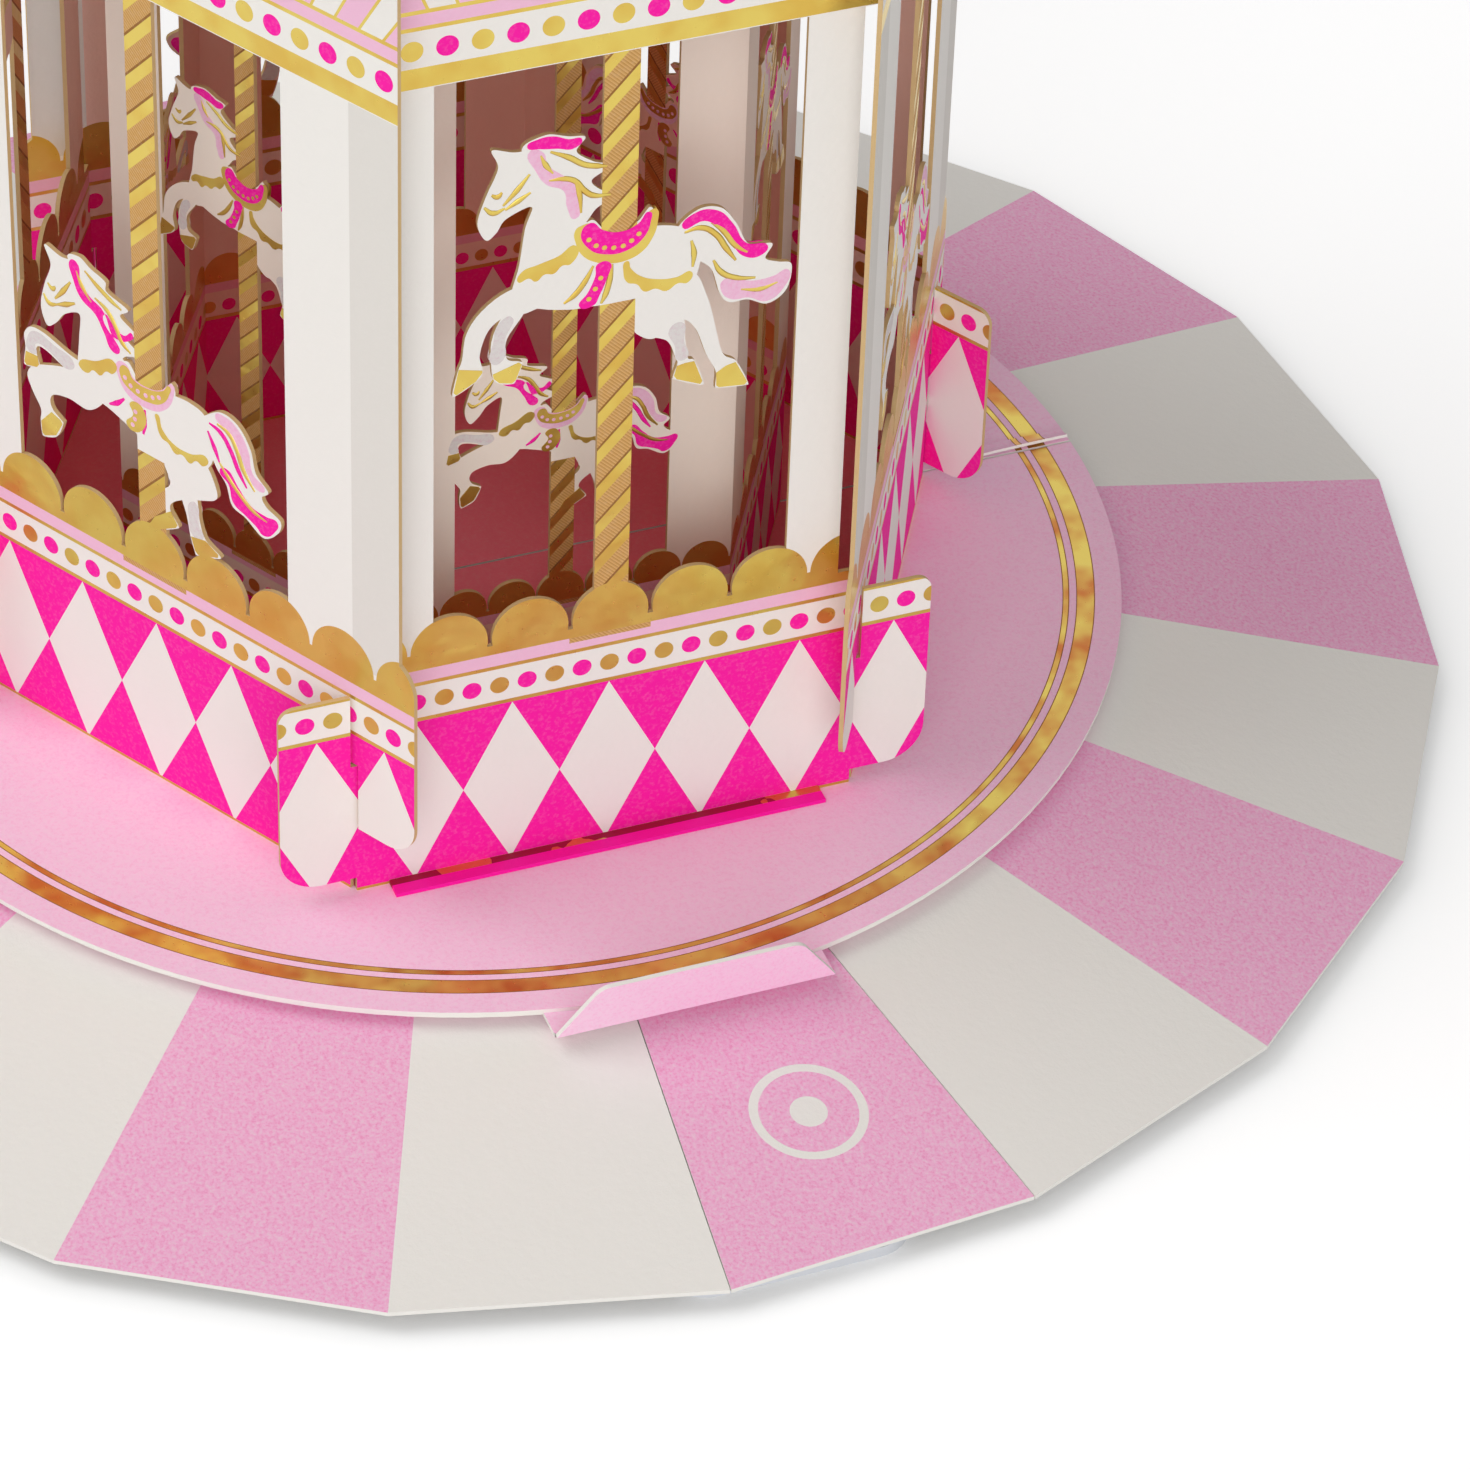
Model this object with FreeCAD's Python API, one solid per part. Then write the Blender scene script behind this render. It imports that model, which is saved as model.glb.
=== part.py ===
"""Carousel music box: die-cut card pavilion on a turntable, over a thin round base with the music and drive.

Millimetres, +Z up, origin on the table under the spindle. The front wall faces -Y.
"""
import FreeCAD
import Part
import math
import os

from FreeCAD import Vector

os.makedirs("parts", exist_ok=True)

# Card and fits
card = 0.45
shaft_clearance = 0.05
running_gap = 0.4
thread_fit = 0.0
slot_clearance = 0.15
slit_width = 0.12

# Base tray with its tongue
tray_radius = 59.0
tray_wall = 1.6
tray_floor = 1.2
cover_gap = 0.5
tongue_width = 24.0
tongue_setback = 2.5
tongue_corner = 4.0
cover_thickness = 0.8
cover_hole_gap = 3.0
boss_radius = 2.6
screw_count = 5
boss_wall_gap = 1.8
screw_first_angle = 36.0
screw_radius = 0.9
screw_length = 4.6
screw_head_radius = 2.0
screw_head_height = 0.65
screw_head_recess = 0.75
screw_head_clearance = 0.3

# Skirt of flat sectors
skirt_sides = 20
skirt_corner_radius = 100.0
skirt_edge_height = 2.3
skirt_flat_margin = 3.0
skirt_hole_gap = 2.0
skirt_turn = 4.5
leaf_setout = 2.0

# Start button under the pressing sector
leaf_height_at_button = 5.25
button_radius = 2.2
button_gap = 0.3
stem_radius = 1.1
switch_side = 6.2
switch_height = 1.2
switch_well_depth = 0.7
stem_clearance = 0.3

# Circuit board and chip
board_side_margin = 3.5
board_thickness = 0.8
board_near = 27.0
board_end_margin = 6.2
chip_radius = 4.5
chip_height = 1.3
chip_distance = 44.0

# Speaker
speaker_radius = 14.0
speaker_height = 4.4
speaker_rim = 1.4
speaker_angle = 8.0
magnet_radius = 7.0
magnet_height = 1.8
cone_edge_radius = 12.2
cone_cap_radius = 4.0
cone_thickness = 0.4
cone_depth = 1.4
grille_hole_radius = 0.9
grille_pitch = 4.0

# Button cells
cell_count = 3
cell_radius = 5.8
cell_height = 5.4
cell_pitch = 12.6
cell_row_x = 8.0
holder_wall_gap = 3.6
cell_clearance = 0.3
holder_wall = 1.0
holder_height = 3.6
contact_thickness = 0.3
contact_width = 3.0

# Drive
spindle_radius = 2.0
spindle_seat = 0.6
thrust_boss_radius = 5.0
thrust_boss_height = 1.4
hub_sleeve_radius = 6.0
hub_flange_radius = 24.0
hub_flange_gap = 0.3
clip_radius = 4.2
clip_thickness = 0.3
spindle_above_clip = 0.05
drive_angle = 140.0
pressure_angle = 25.0
addendum_factor = 0.9
dedendum_factor = 1.2
tooth_backlash = 0.07
hub_module = 0.5
hub_teeth = 80
idler_pinion_teeth = 12
motor_module = 0.4
idler_wheel_teeth = 50
motor_pinion_teeth = 10
hub_gear_lift = 0.6
hub_gear_thickness = 1.4
idler_wheel_thickness = 1.2
layer_gap = 0.5
idler_pin_radius = 1.0
idler_boss_height = 1.0
idler_pin_above = 0.4
motor_radius = 6.0
motor_shaft_radius = 0.5
motor_shaft_in = 1.6
motor_pinion_gap = 0.3
lead_radius = 0.45
lead_spacing = 3.0
lead_turn = 40.0

# Platform
platform_radius = 67.2
liner_setback = 0.3
clip_gap = 1.3
seam_gap = 0.3

# Lift tab
tab_setout = 2.0
tab_root_width = 28.0
tab_tip_width = 20.0
tab_length = 6.2
tab_corner = 2.0
tab_crease_gap = 0.3
tab_stand = 80.0

# Outer walls, heights above the platform
hex_side = 50.5
band_height = 26.6
scallop_pitch = 8.0
scallop_radius = 3.8
scallop_height = 27.4
wall_reach = 7.6
low_tab_bottom = 1.6
low_tab_top = 23.9
low_tab_corner = 4.0
low_tab_top_corner = 1.6
wing_bottom = 8.0
wing_corner = 3.5
slot_meet = 15.5
slot_end_gap = 0.3
under_column_setback = 2.25
under_column_width = 5.4
over_column_reach = 5.75
over_column_width = 13.8
pole_width = 3.4
cornice_bottom = 91.0
cornice_height = 19.0
foot_setback = 3.25
foot_depth = 2.2
flap_length = 5.0
high_saddle = 73.0
low_saddle = 48.7

# Inner walls
inner_apothem = 30.0
inner_band_height = 19.2
inner_scallop_count = 7
inner_scallop_gap = 0.2
inner_scallop_rise = 0.6
inner_column_width = 6.5
inner_pole_width = 2.4
inner_rail_bottom = 102.0
inner_horse_scale = 0.72
inner_low_saddle = 42.5
inner_high_saddle = 64.0

# Roof
ceiling_overhang = 3.0
eave_overhang = 5.0
roof_rise = 42.0
roof_top_radius = 5.0
roof_thickness = 0.6
cap_radius = 6.4
cap_height = 2.4
cap_skirt = 1.5
finial_ball_radius = 4.6
finial_foot_width = 4.0
finial_neck = 3.0
finial_height = 17.0
finial_tip_width = 1.2
finial_slot_clearance = 0.04

# Heights and places that follow from the sizes above
side_count = 6
side_turn = 360.0 / side_count
half_side = side_turn / 2
tray_inside = tray_radius - tray_wall
tray_height = tray_floor + cell_height + contact_thickness + cover_gap
tongue_end = skirt_corner_radius - tongue_setback
screw_circle = tray_inside - boss_wall_gap - boss_radius
cover_hole_radius = hub_sleeve_radius + cover_hole_gap
board_width = tongue_width - 2 * board_side_margin
board_far = tongue_end - board_end_margin
skirt_flat_radius = tray_radius + skirt_flat_margin
skirt_hole_radius = hub_flange_radius + skirt_hole_gap
skirt_flat_bottom = tray_height + cover_thickness
skirt_flat_top = skirt_flat_bottom + card
liner_bottom = skirt_flat_top + running_gap
liner_top = liner_bottom + card
platform_top = liner_top + card
hex_apothem = hex_side / 2 / math.tan(math.radians(half_side))
inner_side = 2 * inner_apothem * math.tan(math.radians(half_side))
slot_width = card * (1 + math.cos(math.radians(side_turn))) / math.sin(math.radians(side_turn))
slot_width = slot_width + 2 * slot_clearance
wall_top = cornice_bottom + cornice_height
ceiling_bottom = platform_top + wall_top
ceiling_top = ceiling_bottom + card
leaf_angle = -90.0 + skirt_turn
leaf_inner = skirt_flat_radius + leaf_setout
half_sector = 180.0 / skirt_sides
slope_share = (skirt_flat_bottom - leaf_height_at_button) / (skirt_flat_bottom - skirt_edge_height)
button_corner_radius = skirt_flat_radius + slope_share * (skirt_corner_radius - skirt_flat_radius)
button_distance = button_corner_radius * math.cos(math.radians(half_sector))
hub_center_distance = hub_module * (hub_teeth + idler_pinion_teeth) / 2
motor_center_distance = motor_module * (idler_wheel_teeth + motor_pinion_teeth) / 2
thrust_top = tray_floor + thrust_boss_height
board_top = tray_floor + board_thickness
hub_tip_radius = hub_module * (hub_teeth / 2 + addendum_factor)
speaker_distance = (hub_tip_radius + tray_inside) / 2
holder_half = cell_radius + cell_clearance + holder_wall
holder_far_x = cell_row_x + (cell_count - 1) / 2 * cell_pitch + holder_half
cell_row_y = math.sqrt((tray_inside - holder_wall_gap) ** 2 - holder_far_x ** 2) - holder_half
hub_gear_bottom = thrust_top + hub_gear_lift
hub_gear_top = hub_gear_bottom + hub_gear_thickness
idler_wheel_bottom = hub_gear_top + layer_gap
flange_bottom = skirt_flat_bottom + hub_flange_gap
clip_bottom = liner_bottom
liner_radius = platform_radius - liner_setback
liner_hole_radius = clip_radius + clip_gap
tab_crease = platform_radius + tab_setout
under_column_outer = hex_side / 2 - under_column_setback
over_column_outer = hex_side / 2 + over_column_reach
foot_width = hex_side - 2 * foot_setback

# Two horses face left, one at a gallop and one leaping: points from the pole at saddle height
saddle_loop = [(-3.8, -0.6), (-2.6, 0.4), (-1.4, -0.9), (0.2, -1.3), (1.8, -0.7), (2.9, 0.6), (3.4, -0.5),
               (2.6, -2.6), (0.6, -3.9), (-1.8, -3.6), (-3.4, -2.3)]
gallop_loops = {
    "body": [(-12.7, 0.4), (-13.5, 2.4), (-12.7, 5.2), (-11.6, 8.0), (-12.2, 10.0), (-10.2, 9.4), (-7.4, 8.8),
             (-5.2, 5.0), (-3.6, 0.8), (0.0, -1.5), (4.2, -1.7), (7.2, -3.1), (8.0, -6.0), (6.8, -10.2),
             (4.2, -14.0), (2.0, -13.4), (-0.3, -9.7), (-4.6, -9.1), (-7.6, -8.3), (-10.2, -6.9),
             (-9.5, -3.0), (-9.0, 0.8), (-8.4, 3.1), (-10.8, 2.3), (-11.7, 1.0)],
    "mane": [(-9.4, 9.3), (-7.2, 10.6), (-5.0, 10.0), (-3.4, 9.6), (-4.2, 8.2), (-2.6, 6.8), (-0.9, 6.0),
             (-2.7, 4.8), (-1.9, 3.6), (-0.3, 2.8), (-2.2, 1.6), (-3.4, 0.2), (-5.2, 0.6), (-6.6, 5.0)],
    "tail": [(5.6, -2.6), (7.6, -0.7), (9.8, -1.0), (11.3, -3.0), (12.6, -5.6), (14.9, -6.1), (14.3, -7.6),
             (15.6, -8.3), (16.9, -8.9), (16.5, -11.6), (14.7, -12.8), (12.7, -11.9), (10.9, -11.8),
             (9.9, -10.5), (9.0, -7.6), (7.0, -5.6)],
    "near_foreleg": [(-7.6, -5.4), (-10.6, -5.7), (-13.1, -7.4), (-14.5, -9.6), (-14.9, -12.4),
                     (-15.3, -13.6), (-15.8, -15.9), (-15.5, -16.3), (-13.6, -15.2), (-12.9, -14.2),
                     (-13.2, -12.2), (-12.4, -9.7), (-10.8, -8.5), (-8.6, -8.5), (-6.4, -7.4)],
    "far_foreleg": [(-9.8, -7.0), (-11.3, -8.8), (-12.1, -11.0), (-12.1, -13.6), (-11.9, -15.2),
                    (-11.3, -15.9), (-10.1, -16.2), (-9.7, -15.9), (-9.1, -14.2), (-9.4, -13.8),
                    (-10.6, -13.2), (-10.6, -11.0), (-8.9, -8.2)],
    "near_hindleg": [(4.4, -7.8), (7.3, -7.6), (8.7, -10.6), (9.4, -13.2), (10.4, -17.4), (11.8, -18.7),
                     (13.0, -21.3), (12.7, -21.7), (10.1, -21.4), (9.8, -21.1), (9.8, -19.4), (8.8, -17.2),
                     (7.6, -13.9), (6.0, -12.6), (3.4, -13.4)],
    "far_hindleg": [(3.0, -11.2), (6.2, -12.0), (6.7, -15.0), (7.0, -17.2), (7.7, -17.7), (8.6, -20.2),
                    (8.3, -20.6), (5.9, -19.5), (5.6, -19.0), (6.0, -17.6), (5.8, -17.0), (4.9, -14.8),
                    (2.4, -13.4)],
    "saddle": saddle_loop,
}
leap_loops = {
    "body": [(-13.0, -0.4), (-13.7, 1.6), (-13.1, 4.3), (-12.2, 6.9), (-12.9, 8.9), (-10.9, 8.5), (-8.2, 8.5),
             (-5.2, 5.0), (-3.6, 0.8), (0.0, -1.5), (3.0, -0.7), (5.2, -0.5), (7.1, -1.1), (8.1, -3.4),
             (7.9, -6.0), (6.6, -8.0), (4.6, -10.9), (2.4, -11.0), (1.7, -8.6), (-1.4, -7.7), (-6.1, -6.2),
             (-8.4, -7.2), (-9.6, -5.0), (-9.2, -3.0), (-8.8, 0.5), (-8.7, 2.9), (-10.6, 2.0), (-11.8, 0.4)],
    "mane": [(-9.9, 8.7), (-8.5, 9.6), (-7.0, 8.9), (-5.2, 8.3), (-5.0, 7.2), (-2.4, 6.4), (-3.4, 5.2),
             (-1.4, 4.0), (-2.7, 3.0), (-1.0, 1.8), (-2.8, 0.9), (-3.8, 0.0), (-5.2, 0.6), (-6.6, 5.0)],
    "tail": [(6.2, -2.2), (8.2, -0.1), (9.8, 0.4), (11.5, -0.3), (12.8, -2.2), (13.4, -4.6), (14.9, -6.0),
             (14.1, -7.0), (14.7, -7.9), (16.4, -8.7), (16.0, -10.3), (14.2, -11.7), (12.0, -10.5),
             (10.3, -9.9), (9.6, -7.8), (8.4, -6.4), (7.2, -4.2)],
    "near_foreleg": [(-6.0, -4.6), (-10.0, -4.2), (-13.2, -5.2), (-15.2, -6.3), (-15.9, -7.7), (-15.2, -9.4),
                     (-14.3, -10.9), (-14.4, -12.2), (-14.3, -13.7), (-13.9, -14.0), (-12.3, -13.2),
                     (-11.4, -11.3), (-11.7, -10.9), (-12.7, -10.2), (-13.0, -9.2), (-12.4, -8.3),
                     (-10.4, -7.8), (-8.0, -7.9), (-6.1, -6.2)],
    "far_foreleg": [(-7.4, -3.2), (-10.6, -2.4), (-13.4, -1.6), (-15.2, -1.7), (-16.1, -2.9), (-16.0, -4.4),
                    (-16.3, -6.2), (-16.0, -6.6), (-14.5, -6.2), (-14.2, -5.7), (-14.6, -4.2), (-14.2, -3.5),
                    (-13.0, -3.6), (-11.0, -4.4), (-8.6, -5.2)],
    "near_hindleg": [(3.6, -6.0), (6.1, -6.4), (7.4, -7.1), (8.4, -9.3), (8.1, -10.4), (6.4, -11.3),
                     (4.6, -12.1), (2.7, -13.4), (2.3, -14.5), (3.3, -15.9), (3.0, -16.4), (1.1, -17.5),
                     (-0.4, -18.1), (-0.6, -17.7), (0.2, -16.3), (0.3, -14.8), (0.9, -13.0), (2.4, -11.3),
                     (1.6, -8.6)],
    "far_hindleg": [(3.4, -10.6), (5.6, -10.8), (6.1, -14.0), (6.8, -15.8), (8.5, -16.7), (8.4, -17.2),
                    (5.8, -18.2), (5.3, -17.8), (4.8, -16.2), (4.4, -14.0)],
    "saddle": saddle_loop,
}


def save(name, shape):
    """Write one piece to its file."""
    shape.exportStep("parts/" + name + ".step")


def polar(distance, angle, height=0.0):
    """Point at a distance from the spindle, at an angle in degrees from +X."""
    turn = math.radians(angle)
    return Vector(distance * math.cos(turn), distance * math.sin(turn), height)


def turned(shape, angle):
    """Copy of a shape turned about the spindle."""
    copy = shape.copy()
    copy.rotate(Vector(0, 0, 0), Vector(0, 0, 1), angle)
    return copy


def fused(shapes):
    """One solid from overlapping shapes."""
    return shapes[0].multiFuse(shapes[1:]).removeSplitter()


def post(radius, bottom, top, place=Vector(0, 0, 0)):
    """Upright cylinder between two heights."""
    return Part.makeCylinder(radius, top - bottom, Vector(place.x, place.y, bottom))


def block(x0, x1, y0, y1, z0, z1):
    """Box between limits."""
    return Part.makeBox(x1 - x0, y1 - y0, z1 - z0, Vector(x0, y0, z0))


def regular_wire(sides, corner_radius, height, first_angle):
    """Regular polygon wire, level at a height."""
    points = [polar(corner_radius, first_angle + 360.0 * k / sides, height) for k in range(sides + 1)]
    return Part.makePolygon(points)


def frustum(sides, low_radius, low, high_radius, high, first_angle):
    """Solid with flat sides between two level polygons."""
    faces = [Part.Face(regular_wire(sides, low_radius, low, first_angle)),
             Part.Face(regular_wire(sides, high_radius, high, first_angle))]
    for k in range(sides):
        start = first_angle + 360.0 * k / sides
        end = first_angle + 360.0 * (k + 1) / sides
        corners = [polar(low_radius, start, low), polar(low_radius, end, low), polar(high_radius, end, high),
                   polar(high_radius, start, high)]
        faces.append(Part.Face(Part.makePolygon(corners + corners[:1])))
    solid = Part.Solid(Part.Shell(faces))
    solid.fix(1e-6, 1e-6, 1e-6)
    return solid


def prism(sides, corner_radius, low, high, first_angle):
    """Upright prism on a regular polygon."""
    face = Part.Face(regular_wire(sides, corner_radius, low, first_angle))
    return face.extrude(Vector(0, 0, high - low))


def sector(center_angle, half_angle, reach, low, high):
    """Wedge about the spindle."""
    corners = [Vector(0, 0, low), polar(reach, center_angle - half_angle, low),
               polar(reach, center_angle + half_angle, low), Vector(0, 0, low)]
    return Part.Face(Part.makePolygon(corners)).extrude(Vector(0, 0, high - low))


def smooth_loop(points):
    """Card of one closed smooth outline, upright in the XZ plane."""
    count = len(points)
    spots = [Vector(u, 0, v) for u, v in points]
    edges = []
    for k in range(count):
        before, start, end, after = (spots[(k + step) % count] for step in (-1, 0, 1, 2))
        curve = Part.BezierCurve()
        curve.setPoles([start, start + (end - before) / 6, end - (after - start) / 6, end])
        edges.append(curve.toShape())
    return Part.Face(Part.Wire(edges)).extrude(Vector(0, card, 0))


def gear(module, teeth, bottom, top):
    """Spur gear with one tooth centred on +X."""
    press = math.radians(pressure_angle)
    pitch_radius = module * teeth / 2
    base_radius = pitch_radius * math.cos(press)
    tip_radius = pitch_radius + addendum_factor * module
    root_radius = pitch_radius - dedendum_factor * module
    half_pitch_tooth = (math.pi * module / 2 - tooth_backlash) / 2 / pitch_radius
    half_base_tooth = half_pitch_tooth + math.tan(press) - press
    start_radius = max(base_radius, root_radius)
    flank = []
    for step in range(4):
        radius = start_radius + (tip_radius - start_radius) * step / 3
        slope = math.acos(min(1.0, base_radius / radius))
        flank.append((radius, half_base_tooth - math.tan(slope) + slope))
    profile = [(root_radius, flank[0][1])] + flank
    points = []
    for tooth in range(teeth):
        middle = 2 * math.pi * tooth / teeth
        for radius, half in profile:
            points.append(Vector(radius * math.cos(middle - half), radius * math.sin(middle - half), bottom))
        for radius, half in reversed(profile):
            points.append(Vector(radius * math.cos(middle + half), radius * math.sin(middle + half), bottom))
    points.append(points[0])
    return Part.Face(Part.makePolygon(points)).extrude(Vector(0, 0, top - bottom))


def lead(points):
    """Thin wire along straight runs."""
    pieces = []
    for start, end in zip(points, points[1:]):
        run = end - start
        pieces.append(Part.makeCylinder(lead_radius, run.Length, start, run))
        pieces.append(Part.makeSphere(lead_radius, end))
    return fused(pieces)


def make_tray():
    """Round tray with a tongue to the front, and bosses for the spindle and the idler pin."""
    tongue = block(-tongue_width / 2, tongue_width / 2, -tongue_end, -tray_radius / 2, 0, tray_floor)
    corners = [edge for edge in tongue.Edges
               if edge.BoundBox.ZLength > 0 and edge.BoundBox.YMax < -tray_radius]
    tongue = tongue.makeFillet(tongue_corner, corners)
    wall = post(tray_radius, 0, tray_height).cut(post(tray_inside, tray_floor, tray_height))
    wall = wall.cut(block(-tongue_width / 2, tongue_width / 2, -tongue_end, -tray_radius / 2, tray_floor,
                          tray_height))
    tray = fused([wall, tongue, post(thrust_boss_radius, 0, thrust_top),
                  post(idler_boss_radius, 0, tray_floor + idler_boss_height, idler_place)])
    cuts = [post(spindle_radius, spindle_seat, tray_height),
            post(idler_pin_radius, spindle_seat, tray_height, idler_place)]
    for spot in screw_spots:
        cuts.append(post(screw_radius + shaft_clearance, 0, tray_floor, spot))
        cuts.append(post(screw_head_radius + screw_head_clearance, 0, screw_head_recess, spot))
    steps = int(cone_edge_radius / grille_pitch)
    for row in range(-steps, steps + 1):
        for column in range(-steps, steps + 1):
            offset = Vector(column * grille_pitch, row * grille_pitch, 0)
            if offset.Length + grille_hole_radius < cone_edge_radius:
                cuts.append(post(grille_hole_radius, 0, tray_floor, speaker_place + offset))
    save("base_tray", tray.cut(cuts))


def make_cover():
    """Lid over the tray, with screw bosses down to its floor."""
    lid = post(tray_radius, tray_height, skirt_flat_bottom)
    bosses = [post(boss_radius, tray_floor, skirt_flat_bottom, spot) for spot in screw_spots]
    pilots = [post(screw_radius + thread_fit, tray_floor, tray_height, spot) for spot in screw_spots]
    save("tray_cover", fused([lid] + bosses).cut([post(cover_hole_radius, 0, skirt_flat_top)] + pilots))
    screws = []
    for spot in screw_spots:
        head_bottom = screw_head_recess - screw_head_height
        head = post(screw_head_radius, head_bottom, screw_head_recess, spot)
        head = head.cut(block(spot.x - screw_head_radius, spot.x + screw_head_radius,
                              spot.y - screw_radius / 4, spot.y + screw_radius / 4,
                              head_bottom, head_bottom + screw_head_height / 2))
        screws.append(fused([head, post(screw_radius, screw_head_recess - screw_head_height / 3,
                                        screw_head_recess + screw_length, spot)]))
    save("cover_screws", Part.makeCompound(screws))


def make_skirt():
    """Sloping skirt of flat sectors, with one sector free to be pressed, and the button under it."""
    first = leaf_angle + half_sector
    over = frustum(skirt_sides, skirt_corner_radius, skirt_edge_height + card,
                   skirt_flat_radius, skirt_flat_top, first)
    edge = prism(skirt_sides, skirt_corner_radius, skirt_edge_height, skirt_edge_height + card, first)
    under = frustum(skirt_sides, skirt_corner_radius, skirt_edge_height,
                    skirt_flat_radius, skirt_flat_bottom, first)
    sheet = over.fuse(edge).cut([under, post(skirt_hole_radius, 0, skirt_flat_top)])
    reach = 1.2 * skirt_corner_radius
    along = Vector(math.cos(math.radians(leaf_angle)), math.sin(math.radians(leaf_angle)), 0)
    inside = block(-reach, leaf_inner, -reach, reach, 0, platform_top)
    inside.rotate(Vector(0, 0, 0), Vector(0, 0, 1), leaf_angle)
    opening = sector(leaf_angle, half_sector, reach, 0, platform_top).cut(inside)
    save("skirt", sheet.cut(opening).removeSplitter())
    smaller = sector(leaf_angle, half_sector, reach, 0, platform_top)
    smaller.translate(along * (slit_width / math.sin(math.radians(half_sector))))
    inside.translate(along * slit_width)
    save("press_leaf", sheet.common(smaller.cut(inside)).removeSplitter())

    place = polar(button_distance, leaf_angle)
    under.translate(Vector(0, 0, -button_gap))
    switch_top = board_top + switch_height
    cap = post(button_radius, switch_top + running_gap, tray_height, place).common(under)
    stem = post(stem_radius, switch_top, switch_top + 2 * running_gap, place)
    save("press_button", fused([cap, stem]))
    body = Part.makeBox(switch_side, switch_side, switch_height,
                        Vector(place.x - switch_side / 2, place.y - switch_side / 2, board_top))
    well = post(stem_radius + stem_clearance, switch_top - switch_well_depth, switch_top, place)
    save("switch_body", body.cut(well))


def make_electronics():
    """Board with its chip, speaker, cells in their holder, and the leads between them."""
    board = block(-board_width / 2, board_width / 2, -board_far, -board_near, tray_floor, board_top)
    save("circuit_board", board)
    chip = post(chip_radius, board_top, board_top + chip_height, Vector(0, -chip_distance, 0))
    rim = [edge for edge in chip.Edges if edge.BoundBox.ZMin > board_top + chip_height / 2]
    save("sound_chip", chip.makeFillet(chip_height * 0.8, rim))

    top = tray_floor + speaker_height
    frame = post(speaker_radius, tray_floor, top, speaker_place)
    frame = frame.cut(post(cone_edge_radius, tray_floor, top - speaker_rim, speaker_place))
    frame = frame.cut(post(magnet_radius, tray_floor, top, speaker_place))
    save("speaker_frame", frame)
    magnet_bottom = top - speaker_rim
    save("speaker_magnet", post(magnet_radius, magnet_bottom, magnet_bottom + magnet_height, speaker_place))
    lip = tray_floor + cone_thickness
    profile = [Vector(0, 0, lip + cone_depth), Vector(cone_cap_radius, 0, lip + cone_depth),
               Vector(cone_edge_radius, 0, lip), Vector(cone_edge_radius, 0, tray_floor),
               Vector(cone_cap_radius, 0, tray_floor + cone_depth), Vector(0, 0, tray_floor + cone_depth)]
    cone = Part.Face(Part.makePolygon(profile + profile[:1])).revolve(Vector(0, 0, 0), Vector(0, 0, 1), 360)
    cone.translate(speaker_place)
    save("speaker_cone", cone)

    first_cell = cell_row_x - (cell_count - 1) / 2 * cell_pitch
    spots = [Vector(first_cell + k * cell_pitch, cell_row_y, 0) for k in range(cell_count)]
    save("button_cells", Part.makeCompound([post(cell_radius, tray_floor, tray_floor + cell_height, spot)
                                            for spot in spots]))
    holder = block(first_cell - holder_half, holder_far_x, cell_row_y - holder_half, cell_row_y + holder_half,
                   tray_floor, tray_floor + holder_height)
    holder = holder.cut([post(cell_radius + cell_clearance, tray_floor, tray_floor + holder_height, spot)
                         for spot in spots])
    save("cell_holder", holder)
    strap_bottom = tray_floor + cell_height
    strap_top = strap_bottom + contact_thickness
    strap_left = first_cell - contact_width / 2
    strap_right = first_cell + contact_width / 2
    holder_front = cell_row_y - holder_half
    strap = block(first_cell - cell_radius, spots[-1].x + cell_radius, cell_row_y - contact_width / 2,
                  cell_row_y + contact_width / 2, strap_bottom, strap_top)
    strap_front = holder_front - contact_thickness
    tail = block(strap_left, strap_right, strap_front, cell_row_y, strap_bottom, strap_top)
    drop = block(strap_left, strap_right, strap_front, holder_front, tray_floor, strap_top)
    save("cell_contact", fused([strap, tail, drop]))

    level = tray_floor + lead_radius
    board_edge = board_width / 2 + lead_radius
    lead_circle = hub_module * hub_teeth / 2
    speaker_foot = Vector(speaker_place.x - lead_spacing, speaker_place.y - speaker_radius - lead_radius,
                          level)
    motor_foot = Vector(motor_place.x - motor_radius / 2, motor_place.y - motor_radius - lead_radius, level)
    strap_foot = Vector(strap_left - lead_radius, holder_front - 2 * lead_radius, level)
    to_speaker = [Vector(board_edge, -board_near - lead_spacing, level),
                  Vector(speaker_foot.x, -board_near, level), speaker_foot]
    to_motor = [Vector(-board_edge, -board_near - lead_spacing, level),
                polar(lead_circle, 180 + lead_turn, level), motor_foot]
    to_cells = [Vector(board_edge, -board_near - 2 * lead_spacing, level),
                polar(lead_circle, -lead_turn, level), polar(lead_circle, lead_turn, level),
                Vector(strap_foot.x + holder_half, strap_foot.y - lead_spacing, level), strap_foot]
    save("lead_wires", Part.makeCompound([lead(to_speaker), lead(to_motor), lead(to_cells)]))


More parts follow.
